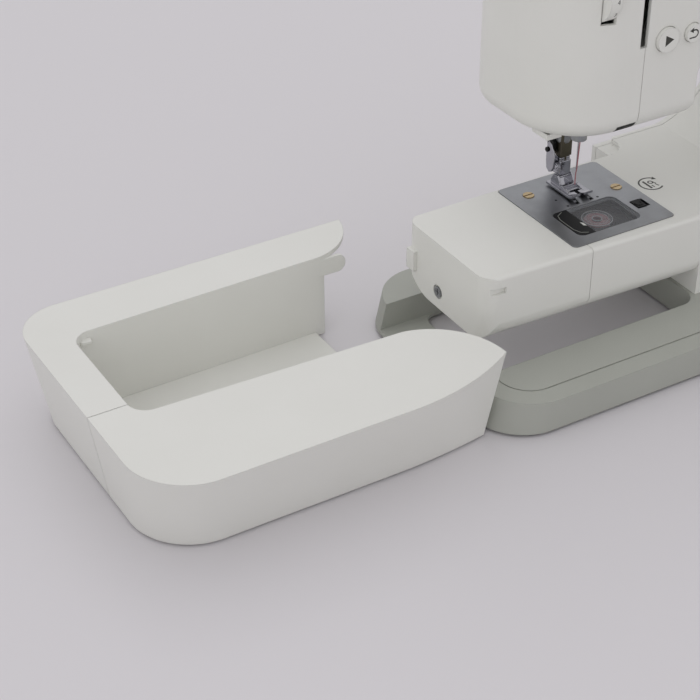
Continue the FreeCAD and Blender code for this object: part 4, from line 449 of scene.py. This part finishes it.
# ribs in a ring: the grip of the handwheel, the dials and the thumb screw
def ribTree(name, sizes, finish):
    tree, size = newTree(name, sizes)
    ring = addNode(tree, "GeometryNodeCurvePrimitiveCircle", {"Resolution": size["Count"],
                                                              "Radius": size["Radius"]})
    spots = addNode(tree, "GeometryNodeCurveToPoints", {"Curve": ring.outputs["Curve"]}, mode="EVALUATED")
    half = addNode(tree, "ShaderNodeMath", {0: size["Rib"], 1: 0.5}, operation="MULTIPLY")
    bead = addNode(tree, "GeometryNodeMeshCylinder", {"Vertices": 10, "Radius": half.outputs["Value"],
                                                      "Depth": size["Length"]})
    ribs = addNode(tree, "GeometryNodeInstanceOnPoints", {"Points": spots.outputs["Points"],
                                                          "Instance": bead.outputs["Mesh"]})
    closeTree(tree, ribs.outputs["Instances"], finish)
    return tree


def addGrip(name, look, finish, body):
    sizes = look["ribs"]
    place = Matrix.Translation(at(*look["place"])) @ Matrix.Rotation(math.radians(90), 4, look["axis"])
    growPiece(name, ribTree(name, sizes, finish), sizes, place, finish, body)


wheelGrip = {"ribs": {"Count": 60, "Radius": 33.3 * mm, "Rib": 1.5 * mm, "Length": 15 * mm},
             "place": (284.5, 13, 233.5), "axis": "Y"}
addGrip("handwheel_grip", wheelGrip, "white_plastic", "handwheel_set")
dialGrip = {"ribs": {"Count": 36, "Radius": 13.6 * mm, "Rib": 1.1 * mm, "Length": 8 * mm},
            "place": (213, -39.8, 138), "axis": "X"}
addGrip("dial_grip", dialGrip, "white_plastic", "selector_dial")
tensionGrip = {"ribs": {"Count": 56, "Radius": 15.65 * mm, "Rib": 0.8 * mm, "Length": 2.4 * mm},
               "place": (-22.6, -22, 240), "axis": "Y"}
addGrip("tension_grip", tensionGrip, "white_plastic", "tension_dial")
print("grips")


# thread wound on the bobbin: a coil round the outside and a flat spiral on top, seen through the window
def windingTree(name, sizes):
    tree, size = newTree(name, sizes)
    profile = addNode(tree, "GeometryNodeCurvePrimitiveCircle", {"Resolution": 6, "Radius": size["Thread"]})
    coil = addNode(tree, "GeometryNodeCurveSpiral", {
        "Resolution": 40, "Rotations": size["Turns"], "Start Radius": size["Outside"],
        "End Radius": size["Outside"], "Height": size["Height"]})
    disc = addNode(tree, "GeometryNodeCurveSpiral", {
        "Resolution": 40, "Rotations": size["Rings"], "Start Radius": size["Inside"],
        "End Radius": size["Outside"], "Height": 0.0})
    lift = addNode(tree, "ShaderNodeCombineXYZ", {"Z": size["Height"]})
    raised = addNode(tree, "GeometryNodeTransform", {"Geometry": disc.outputs["Curve"],
                                                     "Translation": lift.outputs["Vector"]})
    both = addNode(tree, "GeometryNodeJoinGeometry", {0: coil.outputs["Curve"]})
    tree.links.new(raised.outputs["Geometry"], both.inputs[0])
    strand = addNode(tree, "GeometryNodeCurveToMesh", {"Curve": both.outputs["Geometry"],
                                                       "Profile Curve": profile.outputs["Curve"],
                                                       "Fill Caps": True})
    closeTree(tree, strand.outputs["Mesh"], "thread")
    return tree


winding = {"Thread": 0.24 * mm, "Turns": 19.0, "Outside": 8.4 * mm, "Rings": 11.0, "Inside": 3.4 * mm,
           "Height": 8.9 * mm}
bobbinLook = {"place": (1, -12), "low": 67.8}
windingPiece = growPiece("bobbin_winding", windingTree("bobbinWinding", winding), winding,
                         Matrix.Translation(at(*bobbinLook["place"], bobbinLook["low"])), "thread",
                         "wound_bobbin")
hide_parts("bobbin_thread")

# painted highlights: pale rings on the clear bobbin's turned edges, where they would catch the light; rings:
# radius, width, low and high
rimHighlightLook = {"rings": [(10.0, 0.5, 77.7, 78.05), (7.4, 0.3, 77.9, 78.05), (3.2, 0.6, 77.7, 78.05)],
           "steps": 64, "merge": 1e-4}
shape = bmesh.new()
for radius, width, low, high in rimHighlightLook["rings"]:
    for loop in shifted(arcBand(radius, width, 0, 360, rimHighlightLook["steps"]), bobbinLook["place"]):
        slab(shape, loop, low, high, lying)
bmesh.ops.remove_doubles(shape, verts=shape.verts, dist=rimHighlightLook["merge"] * mm)
addSolid("bobbin_rim_highlights", shape, "clear_highlight_rim", "wound_bobbin")
print("bobbin winding")

# presser foot: a sole with turned-up toes and two slots, ears for the cross pin, ribs and a bridge
# bridge: depth, half width, half depth and corner; pin: depth, height, radius and sides
footLook = {"middle": 1.0, "low": 85.0, "thick": 1.7, "toe": 9.5, "lift": 0.075,
            "across": [-8.5, -7.9, -6.2, -4.0, -1.3, 1.3, 4.0, 6.2, 7.9, 8.5],
            "along": [4.8, 5.6, 6.8, 8.2, 9.8, 11.8, 14.2, 17.0, 21.0, 25.0, 29.0, 32.0, 32.8],
            "toeSlot": (1.3, 11.8), "needleSlot": (4.0, 11.8, 14.2),
            "ear": [(21.0, 86.5), (31.0, 86.5), (31.0, 89.0), (28.6, 93.2), (24.4, 93.6), (22.2, 91.0)],
            "rib": [(9.5, 86.5), (21.5, 86.5), (21.5, 88.2), (14.5, 87.6)], "earSpan": (4.75, 6.15),
            "bridge": (19.0, 6.1, 1.2, 0.5), "bridgeHeight": (86.4, 88.6), "pin": (26.0, 91.2, 0.9, 16),
            "pinHalf": 6.2, "edge": 0.22}
toeHalf, toeEnd = footLook["toeSlot"]
needleHalf, needleFront, needleBack = footLook["needleSlot"]
shape = bmesh.new()
spots = {}
for j, y in enumerate(footLook["along"]):
    rise = footLook["lift"] * max(0.0, footLook["toe"] - y) ** 2
    for i, x in enumerate(footLook["across"]):
        spots[i, j] = shape.verts.new(at(footLook["middle"] + x, y, footLook["low"] + rise))
for j in range(len(footLook["along"]) - 1):
    y = (footLook["along"][j] + footLook["along"][j + 1]) / 2
    for i in range(len(footLook["across"]) - 1):
        x = abs(footLook["across"][i] + footLook["across"][i + 1]) / 2
        inToeSlot = x < toeHalf and y < toeEnd
        inNeedleSlot = x < needleHalf and needleFront < y < needleBack
        if not (inToeSlot or inNeedleSlot):
            shape.faces.new([spots[i, j], spots[i + 1, j], spots[i + 1, j + 1], spots[i, j + 1]])
bmesh.ops.delete(shape, geom=[v for v in shape.verts if not v.link_faces], context="VERTS")
sole = bmesh.ops.extrude_face_region(shape, geom=shape.faces[:])
for vert in [item for item in sole["geom"] if isinstance(item, bmesh.types.BMVert)]:
    vert.co.z += footLook["thick"] * mm
for side in (-1, 1):
    span = sorted(footLook["middle"] + side * edge for edge in footLook["earSpan"])
    slab(shape, footLook["ear"], *span, facingLeft)
    slab(shape, footLook["rib"], *span, facingLeft)
slab(shape, roundedBox(footLook["middle"], *footLook["bridge"]), *footLook["bridgeHeight"], lying)
slab(shape, circle(*footLook["pin"]), footLook["middle"] - footLook["pinHalf"],
     footLook["middle"] + footLook["pinHalf"], facingLeft)
foot = addSolid("sewing_foot", shape, "chromed_steel", "presser_foot", edge=footLook["edge"])
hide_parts("presser_foot")

# foot holder: the ankle with its shoulder, and the bent side plate screwed to it
# ankle and shoulder: middle, half width, half depth and corner
holderLook = {"ankle": (1.0, 28.5, 4.4, 4.4, 1.0), "ankleHeight": (92.9, 103.4),
              "shoulder": (1.0, 28.5, 4.1, 3.4, 0.8), "shoulderHeight": (103.0, 105.6), "edge": 0.45,
              "plateSpan": (-6.6, -5.2), "padSpan": (-5.4, -3.2),
              "plate": [(34.0, 115.4), (30.8, 114.2), (28.4, 109.6), (27.2, 103.0), (27.4, 98.4),
                        (29.3, 94.8), (32.4, 93.3), (35.2, 95.6), (36.0, 101.0), (36.0, 108.0),
                        (35.4, 113.4)],
              "pad": [(29.6, 96.0), (34.8, 96.0), (34.8, 102.2), (29.6, 102.2)]}
shape = bmesh.new()
slab(shape, roundedBox(*holderLook["ankle"]), *holderLook["ankleHeight"], lying)
slab(shape, roundedBox(*holderLook["shoulder"]), *holderLook["shoulderHeight"], lying)
slab(shape, holderLook["plate"], *holderLook["plateSpan"], facingLeft)
slab(shape, holderLook["pad"], *holderLook["padSpan"], facingLeft)
holder = addSolid("foot_ankle", shape, "chromed_steel", "presser_set", edge=holderLook["edge"])
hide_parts("foot_holder")

# thumb screw of the holder: ribbed head, turned boss and shank; steps: radius, left and right
screwLook = {"middle": (26.4, 99.4), "steps": [(2.6, -5.4, -3.4), (1.6, -3.6, -0.5), (1.5, -5.9, -5.2)],
             "sides": 28, "edge": 0.3}
shape = bmesh.new()
for radius, left, right in screwLook["steps"]:
    slab(shape, circle(*screwLook["middle"], radius, screwLook["sides"]), left, right, facingLeft)
thumbScrew = addSolid("thumb_screw", shape, "chromed_steel", "presser_set", edge=screwLook["edge"])
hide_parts("holder_screw")
screwGrip = {"ribs": {"Count": 22, "Radius": 2.5 * mm, "Rib": 0.5 * mm, "Length": 1.9 * mm},
             "place": (-4.4, *screwLook["middle"]), "axis": "Y"}
addGrip("thumb_screw_grip", screwGrip, "chromed_steel", "presser_set")

# release tab of the holder, black, with its knob on the side plate
buttonLook = {"knob": (34.6, 109.0, 1.7), "knobSpan": (-7.7, -6.4), "leverSpan": (-6.3, -3.4), "edge": 0.4,
              "lever": [(30.4, 107.5), (33.4, 110.6), (36.0, 112.5), (36.0, 117.4), (31.6, 119.2),
                        (29.2, 116.0), (29.0, 111.0)]}
shape = bmesh.new()
slab(shape, circle(*buttonLook["knob"]), *buttonLook["knobSpan"], facingLeft)
slab(shape, buttonLook["lever"], *buttonLook["leverSpan"], facingLeft)
addSolid("holder_button", shape, "black_plastic", "presser_set", edge=buttonLook["edge"])

# collar round the presser bar, just under the head; steps: radius, low and high
collarLook = {"place": (1.0, 28.5), "steps": [(4.9, 117.0, 126.0), (4.5, 116.0, 117.4)], "sides": 40,
              "edge": 0.4}
shape = bmesh.new()
for radius, low, high in collarLook["steps"]:
    slab(shape, circle(*collarLook["place"], radius, collarLook["sides"]), low, high, lying)
addSolid("bar_collar", shape, "cast_aluminium", "presser_set", edge=collarLook["edge"])
print("presser foot, holder, thumb screw and collar")

# needle thread: from the clamp down the front of the needle and through its eye
threadLook = {"width": 0.8, "route": [(1.6, 11.4, 137.0), (1.5, 11.8, 126.0), (1.2, 12.2, 114.0),
                                      (1.0, 12.4, 106.0), (1.0, 12.6, 101.6), (1.0, 13.2, 100.2),
                                      (1.0, 13.3, 97.0), (0.9, 13.2, 91.0)]}
route = bpy.data.curves.new("needle_thread_route", "CURVE")
route.dimensions = "3D"
line = route.splines.new("NURBS")
line.points.add(len(threadLook["route"]) - 1)
for spot, place in zip(line.points, threadLook["route"]):
    spot.co = (*at(*place), 1)
line.order_u, line.use_endpoint_u = 3, True
route.bevel_depth, route.bevel_resolution, route.use_fill_caps = threadLook["width"] / 2 * mm, 3, True
strandMesh = plainMesh(bpy.data.objects.new("needle_thread_route", route))
addPiece("needle_thread", strandMesh, "thread", "needle_bar_set")

# plate: small pierced holes beside the foot, drawn as flat black discs that paint the shade inside them
plateHoleShade = {"spots": [(-14.4, 12.2), (-12.2, 2.2), (11.6, 2.1)], "radius": 0.9, "sides": 20,
              "height": 83.92}
holeShadeLoops = [circle(x, y, plateHoleShade["radius"], plateHoleShade["sides"]) for x, y in plateHoleShade["spots"]]
plateTop = Matrix.Translation(at(0, 0, plateHoleShade["height"]))
addPrint("plate_hole_shade", holeShadeLoops, plateTop, "black_plastic", "machine")

# latch: a grey strip along its curved edge, a painted highlight of the moulded ridge there, and a small pale
# wedge at the window
latchLook = {"ridge": [(-21.0, -2.6), (-25.6, -5.0), (-27.3, -10.0), (-27.3, -24.0), (-25.4, -29.2),
                       (-21.2, -31.4)], "ridgeLine": 0.28, "height": (83.8, 84.05),
             "wedge": [(-18.4, -18.6), (-16.9, -20.2), (-16.9, -24.2), (-18.6, -22.8)], "wedgeEdge": 0.08}
shape = bmesh.new()
for loop in stroke(latchLook["ridge"], latchLook["ridgeLine"]):
    slab(shape, loop, *latchLook["height"], lying)
addSolid("latch_ridge_highlight", shape, "grey_plastic", "bobbin_cover")
shape = bmesh.new()
slab(shape, latchLook["wedge"], *latchLook["height"], lying)
addSolid("latch_wedge", shape, "white_plastic", "bobbin_cover", edge=latchLook["wedgeEdge"])

# release button: a raised curved finger ridge; band: radius, width, start, end and steps
fingerLook = {"place": (28.6, -18.8), "band": (2.4, 0.7, 150, 390, 30), "height": (84.3, 84.7)}
shape = bmesh.new()
for loop in shifted(arcBand(*fingerLook["band"]), fingerLook["place"]):
    slab(shape, loop, *fingerLook["height"], lying)
addSolid("finger_ridge", shape, "black_plastic", "release_button")
print("thread, plate holes, latch and release button")

# thread slit: a black strip on the rounded lower edge of the head's front, painted shade standing in for the
# dark opening of the slit
slitShadeLook = {"middle": (-21.0, 160.0), "radius": 13.06, "across": (-7.0, 7.4), "down": (26, 56), "steps": 10}
shape = bmesh.new()
rows = []
start, end = slitShadeLook["down"]
for i in range(slitShadeLook["steps"] + 1):
    back, up = turned(slitShadeLook["radius"], start + (end - start) * i / slitShadeLook["steps"])
    y, z = slitShadeLook["middle"][0] - back, slitShadeLook["middle"][1] - up
    rows.append([shape.verts.new(at(x, y, z)) for x in slitShadeLook["across"]])
for upper, lower in zip(rows, rows[1:]):
    shape.faces.new([lower[0], lower[1], upper[1], upper[0]])
slitShadeMesh = bpy.data.meshes.new("head_slit_shade")
shape.to_mesh(slitShadeMesh)
shape.free()
addPiece("head_slit_shade", slitShadeMesh, "black_plastic", "machine")

# corner block: a small moulded lug in the notch's rear left corner, under the table's top
lugLook = {"outline": [(-332.2, 57.6), (-331.2, 56.0), (-325.2, 55.6), (-324.4, 60.4), (-330.0, 60.0)],
           "height": (53.8, 56.2), "edge": 0.4}
shape = bmesh.new()
slab(shape, lugLook["outline"], *lugLook["height"], lying)
addSolid("notch_lug", shape, "white_plastic", "table", edge=lugLook["edge"])


def facing(x, y, z):  # lays a flat print on an upright front face
    return Matrix.Translation(at(x, y, z)) @ Matrix.Rotation(math.radians(90), 4, "X")


def textMesh(name, labels):  # printed characters: each label has its text, its height and its place
    shape = bmesh.new()
    for text, height, place in labels:
        letters = bpy.data.curves.new(name, "FONT")
        letters.body, letters.size = text, height * mm
        letters.align_x, letters.align_y = "CENTER", "CENTER"
        flat = plainMesh(bpy.data.objects.new(name, letters))
        flat.transform(place)
        shape.from_mesh(flat)
    mesh = bpy.data.meshes.new(name)
    shape.to_mesh(mesh)
    shape.free()
    return mesh


# tension numbers round the rim of the tension dial
tensionPrint = {"middle": (-22.0, 240.0), "across": -18.6, "radius": 16.05, "numbers": range(10),
                "front": 4, "pitch": 32, "height": 4.2}
labels = []
for number in tensionPrint["numbers"]:
    degrees = (number - tensionPrint["front"]) * tensionPrint["pitch"]
    forward, up = turned(tensionPrint["radius"], degrees)
    angle = math.radians(degrees)
    spot = at(tensionPrint["across"], tensionPrint["middle"][0] - forward, tensionPrint["middle"][1] + up)
    turn = Matrix(((1, 0, 0), (0, math.sin(angle), -math.cos(angle)), (0, math.cos(angle), math.sin(angle))))
    labels.append((str(number), tensionPrint["height"], Matrix.Translation(spot) @ turn.to_4x4()))
addPiece("tension_numbers", textMesh("tension_numbers", labels), "ink", "tension_dial")

# selector dial: a pointer line on the knob and ticks round it on the casing
dialPrint = {"middle": (213, 138), "pointer": [(0, 5.0), (0, 12.0)], "knobFront": -45.04, "ticks": 12,
             "tick": (16.4, 18.6), "line": 0.8, "pointerLine": 1.28, "wall": -34.03}
dialX, dialZ = dialPrint["middle"]
addPrint("dial_pointer", stroke(dialPrint["pointer"], dialPrint["pointerLine"]),
         facing(dialX, dialPrint["knobFront"], dialZ), "ink", "selector_dial")
tickLoops = []
for i in range(dialPrint["ticks"]):
    degrees = 360 * i / dialPrint["ticks"]
    tickLoops += stroke([turned(radius, degrees) for radius in dialPrint["tick"]], dialPrint["line"])
addPrint("dial_ticks", tickLoops, facing(dialX, dialPrint["wall"], dialZ), "ink", "machine")

# icons on the start and reverse buttons: a triangle, and an arrow that turns back
startPrint = {"place": (24, -36.55, 206), "triangle": [(-2.6, -3.6), (3.8, 0), (-2.6, 3.6)]}
addPrint("start_icon", [startPrint["triangle"]], facing(*startPrint["place"]), "ink", "start_button")
reversePrint = {"place": (44, -36.55, 206), "bend": 2.4, "line": 0.9, "steps": 24,
                "legs": [[(-1.4, 2.4), (0, 2.4)], [(-3.6, -2.4), (0, -2.4)]],
                "head": [(-1.2, 0.6), (-1.2, 4.2), (-4.2, 2.4)]}
turnLoops = arcBand(reversePrint["bend"], reversePrint["line"], -90, 90, reversePrint["steps"])
turnLoops.append(reversePrint["head"])
for leg in reversePrint["legs"]:
    turnLoops += stroke(leg, reversePrint["line"])
addPrint("reverse_icon", turnLoops, facing(*reversePrint["place"]), "ink", "reverse_button")

# speed scale under the slider: a wedge that widens to the right
speedPrint = {"place": (122, -34.03, 192.5), "wedge": [(-16, 0), (16, 0), (16, 4)]}
addPrint("speed_scale", [speedPrint["wedge"]], facing(*speedPrint["place"]), "ink", "machine")

# display: a pale liquid-crystal window let into the dark panel, with its figures
# glass: middle, half width, half height and corner; figures: text, height and place
displayLook = {"glass": (213, 211, 28, 16, 3.0), "depth": (-34.55, -34.3), "figureDepth": -34.6,
               "figures": [("01", 20, (199, 212)), ("2.5", 9, (226, 217)), ("5.0", 9, (226, 206))]}
shape = bmesh.new()
slab(shape, roundedBox(*displayLook["glass"]), *displayLook["depth"], facingFront)
addSolid("display_glass", shape, "display_glass", "machine")
labels = [(text, height, facing(x, displayLook["figureDepth"], z))
          for text, height, (x, z) in displayLook["figures"]]
addPiece("display_figures", textMesh("display_figures", labels), "ink", "machine")

# sample stitches printed on the panel: each row's height and its corner points, in two columns
stitchLook = {"depth": -34.46, "line": 0.6, "columns": [184, 220], "rows": {
    188: [(0, 0), (6, 0), (12, 0), (18, 0)],
    181: [(0, 0), (3, 3), (6, 0), (9, 3), (12, 0), (15, 3), (18, 0)],
    174: [(0, 0), (4.5, 0), (4.5, 3), (9, 3), (9, 0), (13.5, 0), (13.5, 3), (18, 3)]}}
stitchLoops = []
for left in stitchLook["columns"]:
    for height, points in stitchLook["rows"].items():
        stitchLoops += shifted(stroke(points, stitchLook["line"]), (left, height))
addPrint("stitch_rows", stitchLoops, facing(0, stitchLook["depth"], 0), "white_plastic", "machine")
print("slit, prints and display")
